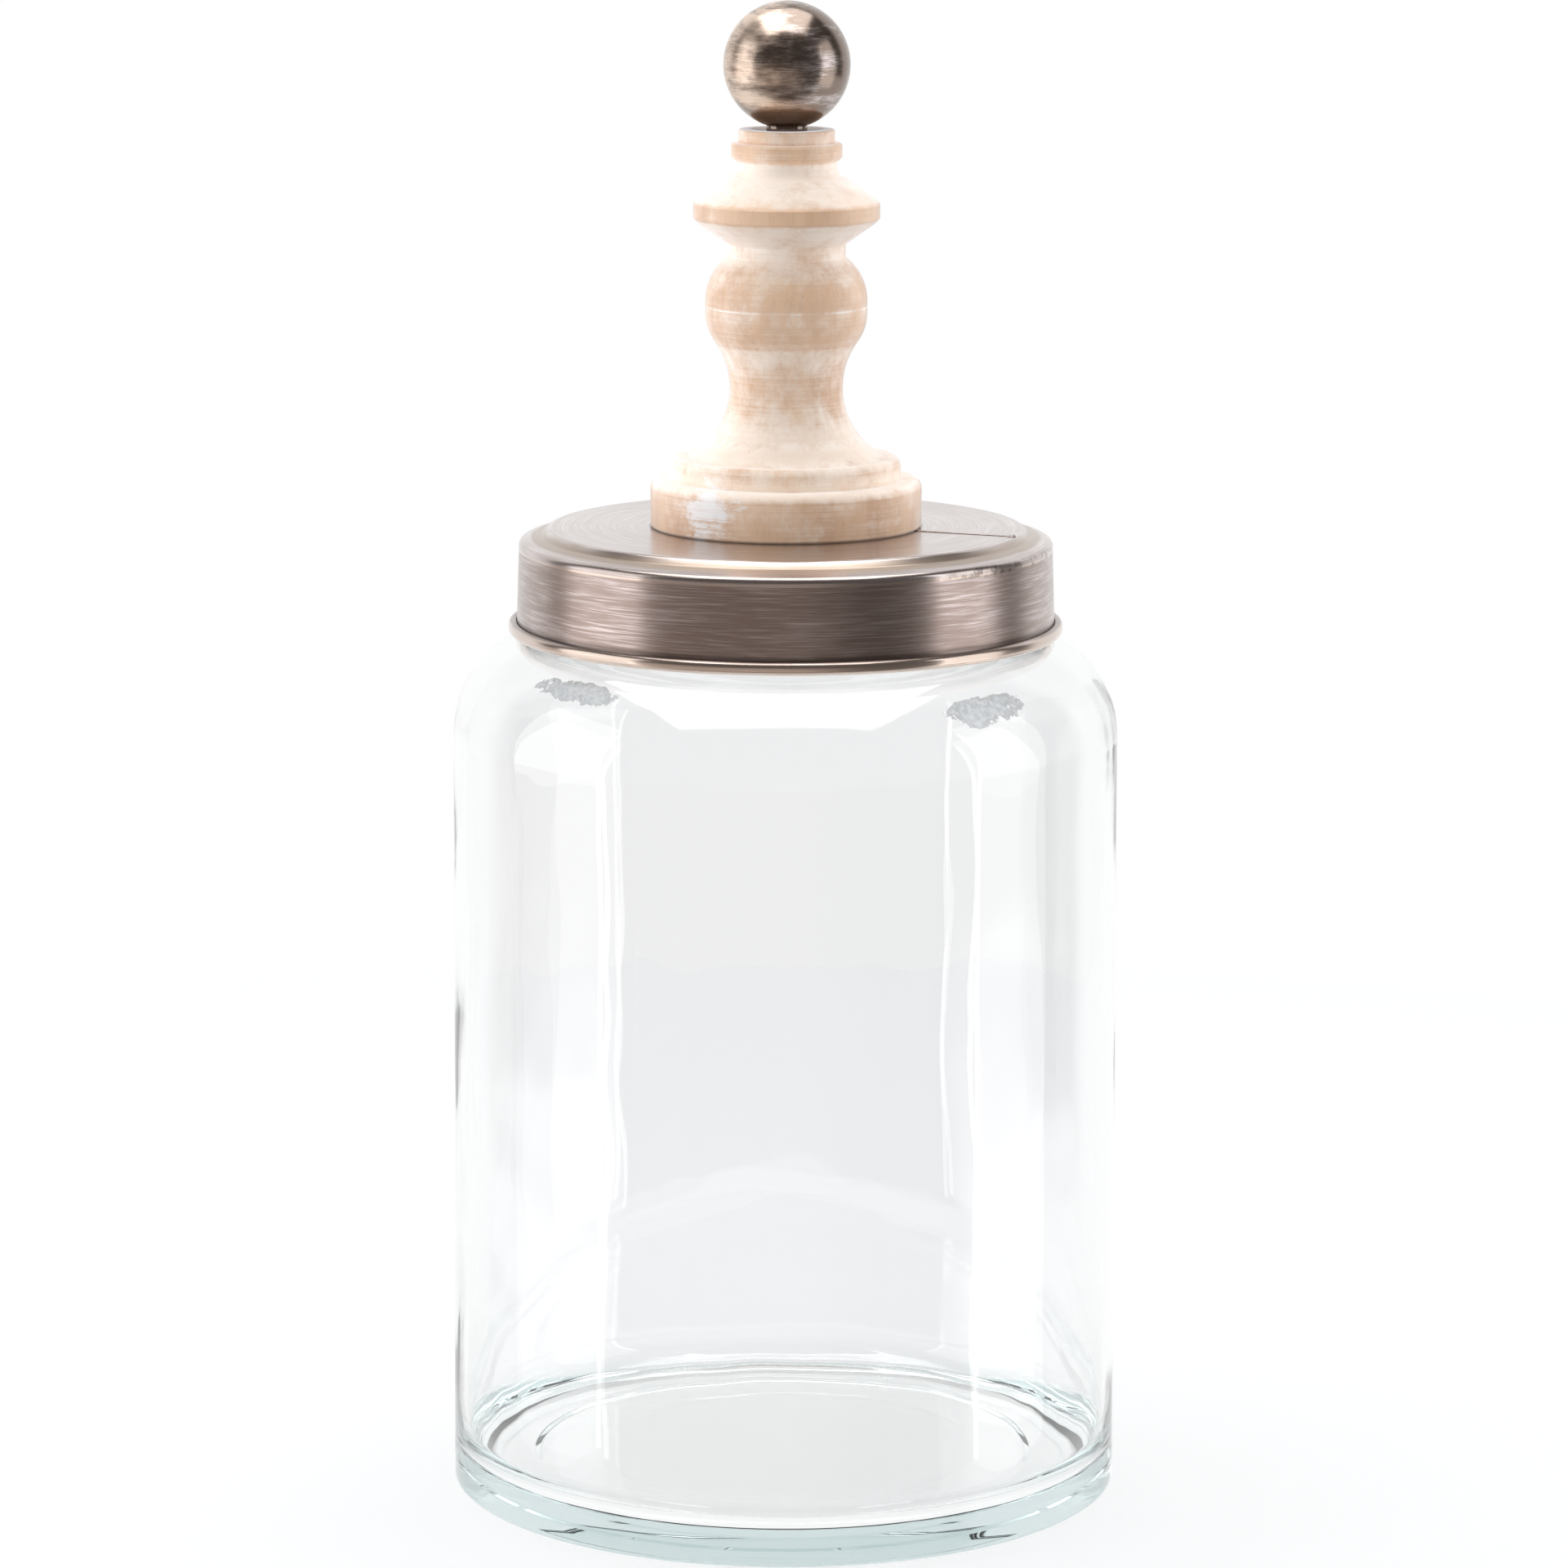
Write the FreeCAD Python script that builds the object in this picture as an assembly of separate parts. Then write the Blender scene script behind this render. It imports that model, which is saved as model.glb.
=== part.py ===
"""Glass specimen jar with a sheet-metal slip lid and a turned wooden finial topped by a metal ball.

The origin is the centre of the jar's base, on the surface that it stands on, with +Z up. All sizes are in
millimetres. Every piece is turned, spun or pressed about the Z axis, so most of them are one outline,
drawn in radius and height, that is revolved about Z.
"""

import FreeCAD, Part
import math
import os

OUT_FOLDER = "parts"

# ---- glass jar -------------------------------------------------------------------------------------------
foot_radius = 82.8             # outside of the body just above the heel
body_draft = 1.2               # how much narrower the body is where the shoulder starts
glass_wall = 3.4
floor_thickness = 7.0
heel_radius = 2.2              # outer rounding where the wall meets the foot
inner_heel_radius = 9.0        # inner rounding where the wall meets the floor
foot_ring_width = 18.0         # the flat ring that the jar stands on
kick_up = 1.8                  # how far the middle of the underside is pushed up
kick_slope_width = 3.0
kick_edge_radius = 1.0         # rounding where the foot ring meets the slope
glass_height = 233.7           # foot to the top of the rim
neck_radius = 63.0             # outside of the neck
neck_wall = 4.0
neck_height = 20.3             # top of the shoulder to the top of the rim
shoulder_slope = 18.0          # degrees by which the shoulder still climbs where it meets the neck
shoulder_radius = 27.0
neck_root_radius = 1.5
rim_radius = 1.9

# ---- sealing ring ----------------------------------------------------------------------------------------
seal_thickness = 1.8
seal_overhang = 1.0            # how far the ring stands in from the mouth
seal_clearance = 0.05          # between the ring and the glass rim, and between the ring and the lid
seal_side_gap = 0.1            # between the ring's outside and the lid's rounded corner

# ---- sheet-metal lid -------------------------------------------------------------------------------------
sheet = 0.6
lid_gap = 1.8                  # radial room between the neck and the inside of the band
solder_gap = 0.2               # between the top's flange and the band around it
lid_corner_radius = 1.4
flange_depth = 7.0             # how far the top's flange reaches down inside the band
band_step = 1.2                # how far the band's raw edge lies below the top's ledge
band_height = 21.5             # raw edge down to the lowest point of the rolled bead
band_draft = 0.65              # how much the band widens from its raw edge to the bead
bead_radius = 1.3
bead_flat = 0.6                # straight stretch on the outside of the bead
curl_angle = 115.0             # how far the curl turns back over the bead's top
ledge_width = 0.9              # flat ring of the top, between its corner and the ogee
ogee_width = 5.2               # radial width of the step from the ledge up to the panel
ogee_rise = 3.2
panel_rise = 0.35              # how far the panel climbs, as a shallow cone, from the ogee to the seat
seat_radius = 30.5             # flat middle of the lid, which the finial stands on

# ---- turned wooden finial: heights are above its own underside --------------------------------------------
plinth_radius = 33.2
plinth_height = 11.8
plinth_round = 2.4
underside_chamfer = 0.5
torus_radius = 28.0            # the half-round moulding on the plinth
torus_side_height = 3.1
torus_rise = 2.2               # from the top of its straight side to its crown
torus_crown_radius = 24.6
cove_start_radius = 24.0
waist_radius = 13.8
waist_height = 33.9
belly_radius = 19.7
belly_height = 53.8
belly_flat = 3.0               # straight stretch at the belly, which carries the scribed line
waist_share = 0.62             # share of the curve between waist and belly that is hollow
scribe_depth = 0.25
neck_ring_radius = 14.4        # the narrow neck above the belly
neck_ring_height = 65.8
neck_ring_length = 3.5
flange_radius = 22.7
flange_height = 77.1           # middle of the flange's straight edge
flange_edge = 3.7
flange_chamfer = 1.1           # below the flange's straight edge
flange_top_chamfer = 0.8       # height of the one above it, which is as wide
throat_radius = 12.2           # the hollow neck above the flange
throat_height = 87.6
throat_round = 2.6             # size of the hollow that turns the flange's slope upright
collar_radius = 13.5
collar_height = 91.5           # middle of the collar's straight edge
collar_edge = 2.8
collar_chamfer = 0.7
cap_disc_radius = 11.7
finial_height = 96.8
finial_bore_clearance = 0.3
recess_radius = 8.6            # the dished recess in the top of the finial
recess_depth = 0.9
recess_slope_width = 2.2

# ---- ball, collar and tie rod ----------------------------------------------------------------------------
ball_radius = 15.4
ball_flat_depth = 1.0          # height of the cap that is faced off under the ball
ball_bore_depth = 12.0
collar_washer_radius = 5.0
collar_washer_thickness = 2.0
rod_radius = 3.0               # M6
rod_tail = 2.6                 # how far the rod reaches past the nut
rod_end_gap = 1.2              # between the rod's upper end and the end of the ball's bore
rod_chamfer = 0.6
thread_clearance = 0.03        # between the rod and what is threaded on it
hole_clearance = 0.3           # between the rod and the plain holes around it
clamp_washer_radius = 12.0
clamp_washer_thickness = 1.6
lock_washer_radius = 5.6
lock_washer_thickness = 1.5
lock_washer_slit = 0.9
lock_washer_slit_angle = 25.0
nut_across_flats = 10.0
nut_height = 5.0
nut_chamfer_angle = 30.0

# ---- heights and radii that follow from the sizes above ----------------------------------------------------
body_radius = foot_radius - body_draft
mouth_radius = neck_radius - neck_wall
shoulder_top = glass_height - neck_height
seal_bottom = glass_height + seal_clearance
ledge_under = seal_bottom + seal_thickness + seal_clearance
ledge_top = ledge_under + sheet
panel_edge_top = ledge_top + ogee_rise
seat_top = panel_edge_top + panel_rise
seat_under = seat_top - sheet
band_inner_radius = neck_radius + lid_gap
band_outer_radius = band_inner_radius + sheet
band_top = ledge_top - band_step
bead_bottom = band_top - band_height
bead_low_centre = bead_bottom + bead_radius
band_slope = band_draft / (band_top - bead_low_centre)
top_flange_radius = band_inner_radius - solder_gap
finial_foot = seat_top
finial_top = finial_foot + finial_height
recess_floor = finial_top - recess_depth
ball_underside = recess_floor + collar_washer_thickness
ball_centre = ball_underside + ball_radius - ball_flat_depth
clamp_washer_under = seat_under - clamp_washer_thickness
lock_washer_under = clamp_washer_under - lock_washer_thickness
nut_under = lock_washer_under - nut_height
rod_bottom = nut_under - rod_tail
rod_top = ball_underside + ball_bore_depth - rod_end_gap


def point(r, z):
    """The point at radius r and height z, in the plane that outlines are drawn in."""
    return FreeCAD.Vector(r, 0, z)


def arc_on_upright(r, z, end_r, end_z):
    """Radius of the arc that leaves (r, z) straight up or down and passes through (end_r, end_z)."""
    across = abs(end_r - r)
    along = end_z - z
    return (across**2 + along**2) / (2 * across)


class Outline:
    """A closed outline in radius and height, drawn edge by edge."""

    def __init__(self, r, z):
        self.first = point(r, z)
        self.last = self.first
        self.edges = []

    def line(self, r, z):
        end = point(r, z)
        if end.distanceToPoint(self.last) > 1e-7:
            self.edges.append(Part.LineSegment(self.last, end).toShape())
            self.last = end
        return self

    def arc(self, via, end):
        """An arc through the point via to the point end."""
        self.edges.append(Part.Arc(self.last, via, end).toShape())
        self.last = end
        return self

    def arc_about(self, centre, end):
        """The shorter arc about centre to end, which lies as far from centre as the last point does."""
        radius = self.last.distanceToPoint(centre)
        middle = (self.last + end) * 0.5 - centre
        middle.normalize()
        return self.arc(centre + middle * radius, end)

    def revolve(self):
        self.line(self.first.x, self.first.z)
        face = Part.Face(Part.Wire(self.edges))
        return face.revolve(point(0, 0), FreeCAD.Vector(0, 0, 1), 360)


def rounded(corners):
    """A closed outline of straight sides, from (r, z) or (r, z, rounding) corners, with tangent arcs at the corners.

    A rounding that its two sides have no room for takes the room that there is."""
    corners = [(*c, 0.0)[:3] for c in corners]
    places = [point(r, z) for r, z, _ in corners]
    count = len(corners)
    setbacks = []
    for i, (_, _, radius) in enumerate(corners):
        to_before = places[i - 1] - places[i]
        to_after = places[(i + 1) % count] - places[i]
        setbacks.append(radius / math.tan(to_before.getAngle(to_after) / 2) if radius else 0.0)
    ends = []
    for i, place in enumerate(places):
        to_before = places[i - 1] - place
        to_after = places[(i + 1) % count] - place
        room = [to_before.Length, to_after.Length]
        shares = [
            room[0] * setbacks[i] / max(setbacks[i] + setbacks[i - 1], room[0]),
            room[1] * setbacks[i] / max(setbacks[i] + setbacks[(i + 1) % count], room[1]),
        ]
        setback = min(shares)
        to_before.normalize()
        to_after.normalize()
        ends.append((place + to_before * setback, place + to_after * setback, setback))
    outline = Outline(ends[0][1].x, ends[0][1].z)
    for i in list(range(1, count)) + [0]:
        before, after, setback = ends[i]
        outline.line(before.x, before.z)
        if setback > 1e-6:
            bisector = (before + after) * 0.5 - places[i]
            half_angle = (before - places[i]).getAngle(after - places[i]) / 2
            radius = setback * math.tan(half_angle)
            to_centre = setback / math.cos(half_angle)
            bisector.normalize()
            outline.arc(places[i] + bisector * (to_centre - radius), after)
    return outline


def tube(radius, bottom, top):
    return Part.makeCylinder(radius, top - bottom, point(0, bottom))


def washer(outer, inner, bottom, thickness):
    return tube(outer, bottom, bottom + thickness).cut(tube(inner, bottom, bottom + thickness))


def glass_jar():
    """Blown jar: thick floor with a pushed-up middle, drafted wall, round shoulder and a plain neck."""
    climb = math.tan(math.radians(shoulder_slope))
    shoulder_corner = shoulder_top - climb * (body_radius - neck_radius)
    inner_body = body_radius - glass_wall
    inner_shoulder = shoulder_top - glass_wall
    inner_corner = inner_shoulder - climb * (inner_body - mouth_radius)
    ring_inner = foot_radius - heel_radius - foot_ring_width
    return rounded([
        (0, kick_up),
        (ring_inner - kick_slope_width, kick_up, kick_slope_width),
        (ring_inner, 0, kick_edge_radius),
        (foot_radius, 0, heel_radius),
        (body_radius, shoulder_corner, shoulder_radius),
        (neck_radius, shoulder_top, neck_root_radius),
        (neck_radius, glass_height, rim_radius),
        (mouth_radius, glass_height, rim_radius),
        (mouth_radius, inner_shoulder, neck_root_radius),
        (inner_body, inner_corner, shoulder_radius - glass_wall),
        (foot_radius - glass_wall, floor_thickness, inner_heel_radius),
        (0, floor_thickness),
    ]).revolve()


def lid_seal():
    """Soft ring that lies between the glass rim and the lid's ledge."""
    inner = mouth_radius - seal_overhang
    outer = top_flange_radius - lid_corner_radius - seal_side_gap
    return washer(outer, inner, seal_bottom, seal_thickness)


def lid_top():
    """Pressed top: flat seat, shallow cone, ogee step, ledge and a flange that is soldered inside the band."""
    outer = top_flange_radius
    flange_end = ledge_top - flange_depth
    flange_end_radius = outer + band_slope * (band_top - flange_end)
    ledge_inner = outer - lid_corner_radius - ledge_width
    panel_edge = ledge_inner - ogee_width
    hole = rod_radius + hole_clearance
    ease = ogee_width / 2
    return rounded([
        (hole, seat_under),
        (seat_radius, seat_under),
        (panel_edge, panel_edge_top - sheet, ease + sheet),
        (ledge_inner, ledge_under, ease),
        (outer - sheet, ledge_under, lid_corner_radius - sheet),
        (flange_end_radius - sheet, flange_end),
        (flange_end_radius, flange_end),
        (outer, ledge_top, lid_corner_radius),
        (ledge_inner, ledge_top, ease + sheet),
        (panel_edge, panel_edge_top, ease),
        (seat_radius, seat_top),
        (hole, seat_top),
    ]).revolve()


def lid_band():
    """Rolled band, open at the top, whose lower edge is curled outwards into a hollow bead."""
    wall_in = band_inner_radius + band_draft
    wall_out = wall_in + sheet
    bead_middle = wall_in + bead_radius
    hollow = bead_radius - sheet
    low = bead_low_centre
    high = low + bead_flat
    turn = math.radians(curl_angle)
    curl_end = FreeCAD.Vector(math.cos(turn), 0, math.sin(turn))
    curl_middle = FreeCAD.Vector(math.cos(turn / 2), 0, math.sin(turn / 2))
    curl_centre = point(bead_middle, high)

    outline = Outline(band_inner_radius, band_top)
    outline.line(wall_in, low)
    outline.arc(point(bead_middle, bead_bottom), point(bead_middle + bead_radius, low))
    outline.line(bead_middle + bead_radius, high)
    outline.arc(curl_centre + curl_middle * bead_radius, curl_centre + curl_end * bead_radius)
    raw_edge = curl_centre + curl_end * hollow
    outline.line(raw_edge.x, raw_edge.z)
    outline.arc(curl_centre + curl_middle * hollow, point(bead_middle + hollow, high))
    outline.line(bead_middle + hollow, low)
    outline.arc(point(bead_middle, low - hollow), point(wall_out, low))
    outline.line(band_outer_radius, band_top)
    return outline.revolve()


def finial_body():
    """Turned wooden finial, bored through for the tie rod and dished at the top for the ball's collar."""

    def at(r, height):
        return point(r, finial_foot + height)

    bore = rod_radius + finial_bore_clearance
    torus_side_top = plinth_height + torus_side_height
    torus_crown = torus_side_top + torus_rise
    belly_low = belly_height - belly_flat / 2
    belly_top = belly_height + belly_flat / 2

    outline = Outline(bore, finial_foot)
    # plinth
    outline.line(plinth_radius - underside_chamfer, finial_foot)
    outline.line(plinth_radius, finial_foot + underside_chamfer)
    outline.line(plinth_radius, finial_foot + plinth_height - plinth_round)
    outline.arc_about(
        at(plinth_radius - plinth_round, plinth_height - plinth_round),
        at(plinth_radius - plinth_round, plinth_height),
    )
    outline.line(torus_radius, finial_foot + plinth_height)
    # half-round moulding and the small step at its crown
    outline.line(torus_radius, finial_foot + torus_side_top)
    torus_arc = arc_on_upright(torus_radius, torus_side_top, torus_crown_radius, torus_crown)
    outline.arc_about(at(torus_radius - torus_arc, torus_side_top), at(torus_crown_radius, torus_crown))
    outline.line(cove_start_radius, finial_foot + torus_crown)
    # cove up to the waist
    cove_arc = arc_on_upright(waist_radius, waist_height, cove_start_radius, torus_crown)
    outline.arc_about(at(waist_radius + cove_arc, waist_height), at(waist_radius, waist_height))
    # hollow and round from the waist to the belly: two arcs that meet on the line between their centres
    both_arcs = arc_on_upright(waist_radius, waist_height, belly_radius, belly_low)
    hollow_centre = at(waist_radius + both_arcs * waist_share, waist_height)
    round_centre = at(belly_radius - both_arcs * (1 - waist_share), belly_low)
    meeting = hollow_centre + (round_centre - hollow_centre) * waist_share
    outline.arc_about(hollow_centre, meeting)
    outline.arc_about(round_centre, at(belly_radius, belly_low))
    # scribed line round the belly
    outline.line(belly_radius, finial_foot + belly_height - scribe_depth)
    outline.line(belly_radius - scribe_depth, finial_foot + belly_height)
    outline.line(belly_radius, finial_foot + belly_height + scribe_depth)
    outline.line(belly_radius, finial_foot + belly_top)
    belly_arc = arc_on_upright(belly_radius, belly_top, neck_ring_radius, neck_ring_height)
    outline.arc_about(at(belly_radius - belly_arc, belly_top), at(neck_ring_radius, neck_ring_height))
    # neck ring and flange
    flange_low = flange_height - flange_edge / 2
    flange_high = flange_height + flange_edge / 2
    neck_ring_top = neck_ring_height + neck_ring_length
    under_edge = flange_radius - flange_chamfer
    outline.line(neck_ring_radius, finial_foot + neck_ring_top)
    outline.line(under_edge, finial_foot + flange_low - flange_chamfer)
    outline.line(flange_radius, finial_foot + flange_low)
    outline.line(flange_radius, finial_foot + flange_high)
    outline.line(under_edge, finial_foot + flange_high + flange_top_chamfer)
    # sloping top of the flange and the throat, a hollow that turns from the slope to upright
    outline.line(throat_radius + throat_round, finial_foot + throat_height - throat_round)
    outline.arc_about(at(throat_radius + throat_round, throat_height), at(throat_radius, throat_height))
    # collar and cap disc
    collar_low = collar_height - collar_edge / 2
    collar_high = collar_height + collar_edge / 2
    outline.line(collar_radius - collar_chamfer, finial_foot + collar_low - collar_chamfer)
    outline.line(collar_radius, finial_foot + collar_low)
    outline.line(collar_radius, finial_foot + collar_high)
    outline.line(collar_radius - collar_chamfer, finial_foot + collar_high + collar_chamfer)
    outline.line(cap_disc_radius, finial_foot + collar_high + collar_chamfer)
    outline.line(cap_disc_radius, finial_top)
    # dished recess for the ball's collar
    outline.line(recess_radius, finial_top)
    outline.line(recess_radius - recess_slope_width, recess_floor)
    outline.line(bore, recess_floor)
    return outline.revolve()


def ball():
    """Metal ball with a faced-off underside and a blind threaded bore."""
    sphere = Part.makeSphere(ball_radius, point(0, ball_centre))
    below = tube(ball_radius, ball_underside - ball_radius, ball_underside)
    bore = tube(rod_radius + thread_clearance, ball_underside, ball_underside + ball_bore_depth)
    return sphere.cut(below).cut(bore)


def ball_collar():
    """Small distance collar that the ball is screwed down on."""
    inner = rod_radius + hole_clearance
    return washer(collar_washer_radius, inner, recess_floor, collar_washer_thickness)


def tie_rod():
    """Threaded rod that clamps ball, finial and lid together."""
    return Outline(0, rod_bottom).line(rod_radius - rod_chamfer, rod_bottom).line(
        rod_radius, rod_bottom + rod_chamfer
    ).line(rod_radius, rod_top - rod_chamfer).line(rod_radius - rod_chamfer, rod_top).line(0, rod_top).revolve()


def clamp_washer():
    """Wide washer that spreads the nut's pull over the thin lid."""
    inner = rod_radius + hole_clearance
    return washer(clamp_washer_radius, inner, clamp_washer_under, clamp_washer_thickness)


def lock_washer():
    """Spring washer, pressed flat, with its slanting slit."""
    inner = rod_radius + hole_clearance
    ring = washer(lock_washer_radius, inner, lock_washer_under, lock_washer_thickness)
    slit = Part.makeBox(lock_washer_radius, lock_washer_slit, 3 * lock_washer_thickness)
    slit.translate(FreeCAD.Vector(0, -lock_washer_slit / 2, -1.5 * lock_washer_thickness))
    slit.rotate(FreeCAD.Vector(), FreeCAD.Vector(1, 0, 0), lock_washer_slit_angle)
    slit.translate(point(inner / 2, lock_washer_under + lock_washer_thickness / 2))
    return ring.cut(slit)


def hex_nut():
    """Hexagon nut, chamfered at both faces."""
    corner_radius = nut_across_flats / 2 / math.cos(math.radians(30))
    corners = [
        FreeCAD.Vector(corner_radius * math.cos(a), corner_radius * math.sin(a), nut_under)
        for a in (math.radians(60 * k) for k in range(7))
    ]
    prism = Part.Face(Part.makePolygon(corners)).extrude(point(0, nut_height))
    chamfer_fall = (corner_radius - nut_across_flats / 2) * math.tan(math.radians(nut_chamfer_angle))
    top = nut_under + nut_height
    envelope = Outline(0, nut_under).line(nut_across_flats / 2, nut_under).line(
        corner_radius, nut_under + chamfer_fall
    ).line(corner_radius, top - chamfer_fall).line(nut_across_flats / 2, top).line(0, top).revolve()
    bore = tube(rod_radius + thread_clearance, nut_under, top)
    return prism.common(envelope).cut(bore)


PIECES = (
    glass_jar,
    lid_seal,
    lid_top,
    lid_band,
    finial_body,
    ball_collar,
    ball,
    tie_rod,
    clamp_washer,
    lock_washer,
    hex_nut,
)

os.makedirs(OUT_FOLDER, exist_ok=True)
for make in PIECES:
    shape = make()
    if shape.ShapeType == "Compound" and len(shape.Solids) == 1:
        shape = shape.Solids[0]
    shape.exportStep(f"{OUT_FOLDER}/{make.__name__}.step")
    box = shape.BoundBox
    print(
        f"{make.__name__:14s} valid {shape.isValid()} solids {len(shape.Solids)} volume {shape.Volume:10.1f}"
        f"  z {box.ZMin:7.2f} to {box.ZMax:7.2f}  width {box.XLength:6.2f}"
    )
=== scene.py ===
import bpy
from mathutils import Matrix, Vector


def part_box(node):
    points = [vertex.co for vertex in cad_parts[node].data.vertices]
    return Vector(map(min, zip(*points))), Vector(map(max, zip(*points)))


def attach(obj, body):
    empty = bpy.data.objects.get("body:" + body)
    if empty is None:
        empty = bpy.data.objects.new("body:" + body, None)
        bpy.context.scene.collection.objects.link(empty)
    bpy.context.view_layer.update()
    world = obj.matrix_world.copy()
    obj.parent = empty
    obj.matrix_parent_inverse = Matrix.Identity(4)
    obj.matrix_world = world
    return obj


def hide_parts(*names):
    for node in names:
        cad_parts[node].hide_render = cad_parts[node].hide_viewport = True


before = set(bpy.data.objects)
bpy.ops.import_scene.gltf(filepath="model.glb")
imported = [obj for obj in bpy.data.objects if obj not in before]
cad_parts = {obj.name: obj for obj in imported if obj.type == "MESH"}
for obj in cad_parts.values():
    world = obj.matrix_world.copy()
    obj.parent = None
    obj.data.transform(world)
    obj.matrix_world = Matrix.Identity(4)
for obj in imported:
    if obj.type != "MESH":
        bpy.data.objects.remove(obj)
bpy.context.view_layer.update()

# %% [markdown]
# # A lidded specimen jar
#
# The object is a clear glass jar. Its slip lid is pressed from thin sheet and antiqued, and it carries a
# turned wooden finial with a darkened metal ball on top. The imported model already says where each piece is,
# so this script only makes the looks: finely turned meshes in place of the coarse ones, and a procedural
# material for each finish. Sizes are written in millimetres and turned into metres by `MM`.

# %% What the whole script uses
import math

import bpy
from mathutils import Matrix, Vector

MM = 0.001
scene = bpy.context.scene


def height_of(node):
    """Lowest and highest point of a CAD node, in millimetres."""
    low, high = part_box(node)
    return low[2] / MM, high[2] / MM


def width_of(node):
    """Outer radius of a round CAD node, in millimetres."""
    low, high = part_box(node)
    return (high[0] - low[0]) / 2 / MM


for node in sorted(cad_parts):
    low, high = height_of(node)
    print(f"{node:14s} radius {width_of(node):6.1f} mm, from {low:6.1f} to {high:6.1f} mm")

# %% [markdown]
# ## Turning a piece
#
# Almost every piece here is round, as if it came off a lathe or a spinning machine. Three ways suggest
# themselves: a stack of resized circles, the Screw modifier, or an outline that is spun about the axis in
# edit mode. The spun outline is closest to what the turner does: draw the profile once, then sweep the work
# past it. The outline starts as a plane that is merged to one vertex. Each further point is extruded from
# the last, then the whole line is spun, its doubles are merged, and the faces are made to look outwards.

# %% Lathe tools
FINE, COARSE = 256, 96


def select_only(piece=None):
    """Object mode with only this piece selected, or with nothing selected."""
    if bpy.context.mode != "OBJECT":
        bpy.ops.object.mode_set(mode="OBJECT")
    bpy.ops.object.select_all(action="DESELECT")
    if piece:
        piece.select_set(True)
        bpy.context.view_layer.objects.active = piece


def edit(piece):
    select_only(piece)
    bpy.ops.object.mode_set(mode="EDIT")


def new_primitive(name, add, **options):
    """Adds a primitive by its operator, alone in the selection, and names it."""
    select_only()
    add(**options)
    piece = bpy.context.object
    piece.name = name
    piece.data.name = name
    return piece


def close_shell():
    """Merges what lies together, drops loose ends and turns all faces outwards, in edit mode."""
    bpy.ops.mesh.select_all(action="SELECT")
    bpy.ops.mesh.remove_doubles(threshold=0.002 * MM)
    bpy.ops.mesh.delete_loose()
    bpy.ops.mesh.select_all(action="SELECT")
    bpy.ops.mesh.normals_make_consistent(inside=False)


def finish_mesh(piece, sharp=35):
    """Object mode, smooth shading with edges past the angle sharp, and the transform put in the mesh."""
    select_only(piece)
    bpy.ops.object.transform_apply(location=True, rotation=True, scale=True)
    bpy.ops.object.shade_smooth_by_angle(angle=math.radians(sharp))
    print(f"{piece.name}: {len(piece.data.polygons)} faces")
    return piece


def turn(name, outline, steps=FINE, sharp=35):
    """Spins a closed outline of (radius, height) points about the vertical axis."""
    points = [Vector((r, 0, z)) * MM for r, z in outline]
    piece = new_primitive(name, bpy.ops.mesh.primitive_plane_add, size=MM)
    edit(piece)
    bpy.ops.mesh.merge(type="CENTER")
    bpy.ops.transform.translate(value=points[0])
    for last, point in zip(points, points[1:] + points[:1]):
        bpy.ops.mesh.extrude_vertices_move(TRANSFORM_OT_translate={"value": point - last})
    bpy.ops.mesh.select_all(action="SELECT")
    bpy.ops.mesh.remove_doubles(threshold=0.002 * MM)
    bpy.ops.mesh.spin(steps=steps, angle=math.tau, center=(0, 0, 0), axis=(0, 0, 1))
    close_shell()
    return finish_mesh(piece, sharp)


def arc(centre_r, centre_z, radius, start, end, pieces=8):
    """Points of an arc; angles in degrees, 0 is outwards and 90 is up."""
    angles = [math.radians(start + (end - start) * i / pieces) for i in range(pieces + 1)]
    return [(centre_r + radius * math.cos(a), centre_z + radius * math.sin(a)) for a in angles]


def rounded(corners, pieces=8):
    """A closed outline with arcs at the corners, from (radius, height) or (radius, height, rounding)."""
    places = [Vector(c[:2]) for c in corners]
    outline = []
    for i, corner in enumerate(corners):
        rounding = corner[2] if len(corner) > 2 else 0
        if not rounding:
            outline.append(tuple(places[i]))
            continue
        back = (places[i - 1] - places[i]).normalized()
        ahead = (places[(i + 1) % len(corners)] - places[i]).normalized()
        half = back.angle(ahead) / 2
        centre = places[i] + (back + ahead).normalized() * rounding / math.sin(half)
        first = places[i] + back * rounding / math.tan(half) - centre
        turned = first.angle_signed(places[i] + ahead * rounding / math.tan(half) - centre)
        for k in range(pieces + 1):
            outline.append(tuple(centre + Matrix.Rotation(-turned * k / pieces, 2) @ first))
    return outline


# %% [markdown]
# ## Materials: shared effects
#
# Several finishes here are the same effect with other numbers. Lines that run round a turned piece are left
# by a chisel on wood and by an abrasive belt on metal. Such an effect is a node group: it is built once and
# each material sets its values. A group here gives only colours, masks and heights, never a shader.

# %% Node helpers
def node_group(name, inputs, outputs):
    """An empty node group with float inputs {name: default} and outputs {name: socket type}."""
    group = bpy.data.node_groups.new(name, "ShaderNodeTree")
    for label, default in inputs.items():
        socket = group.interface.new_socket(name=label, in_out="INPUT", socket_type="NodeSocketFloat")
        socket.default_value = default
    for label, kind in outputs.items():
        group.interface.new_socket(name=label, in_out="OUTPUT", socket_type=kind)
    return group


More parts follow.
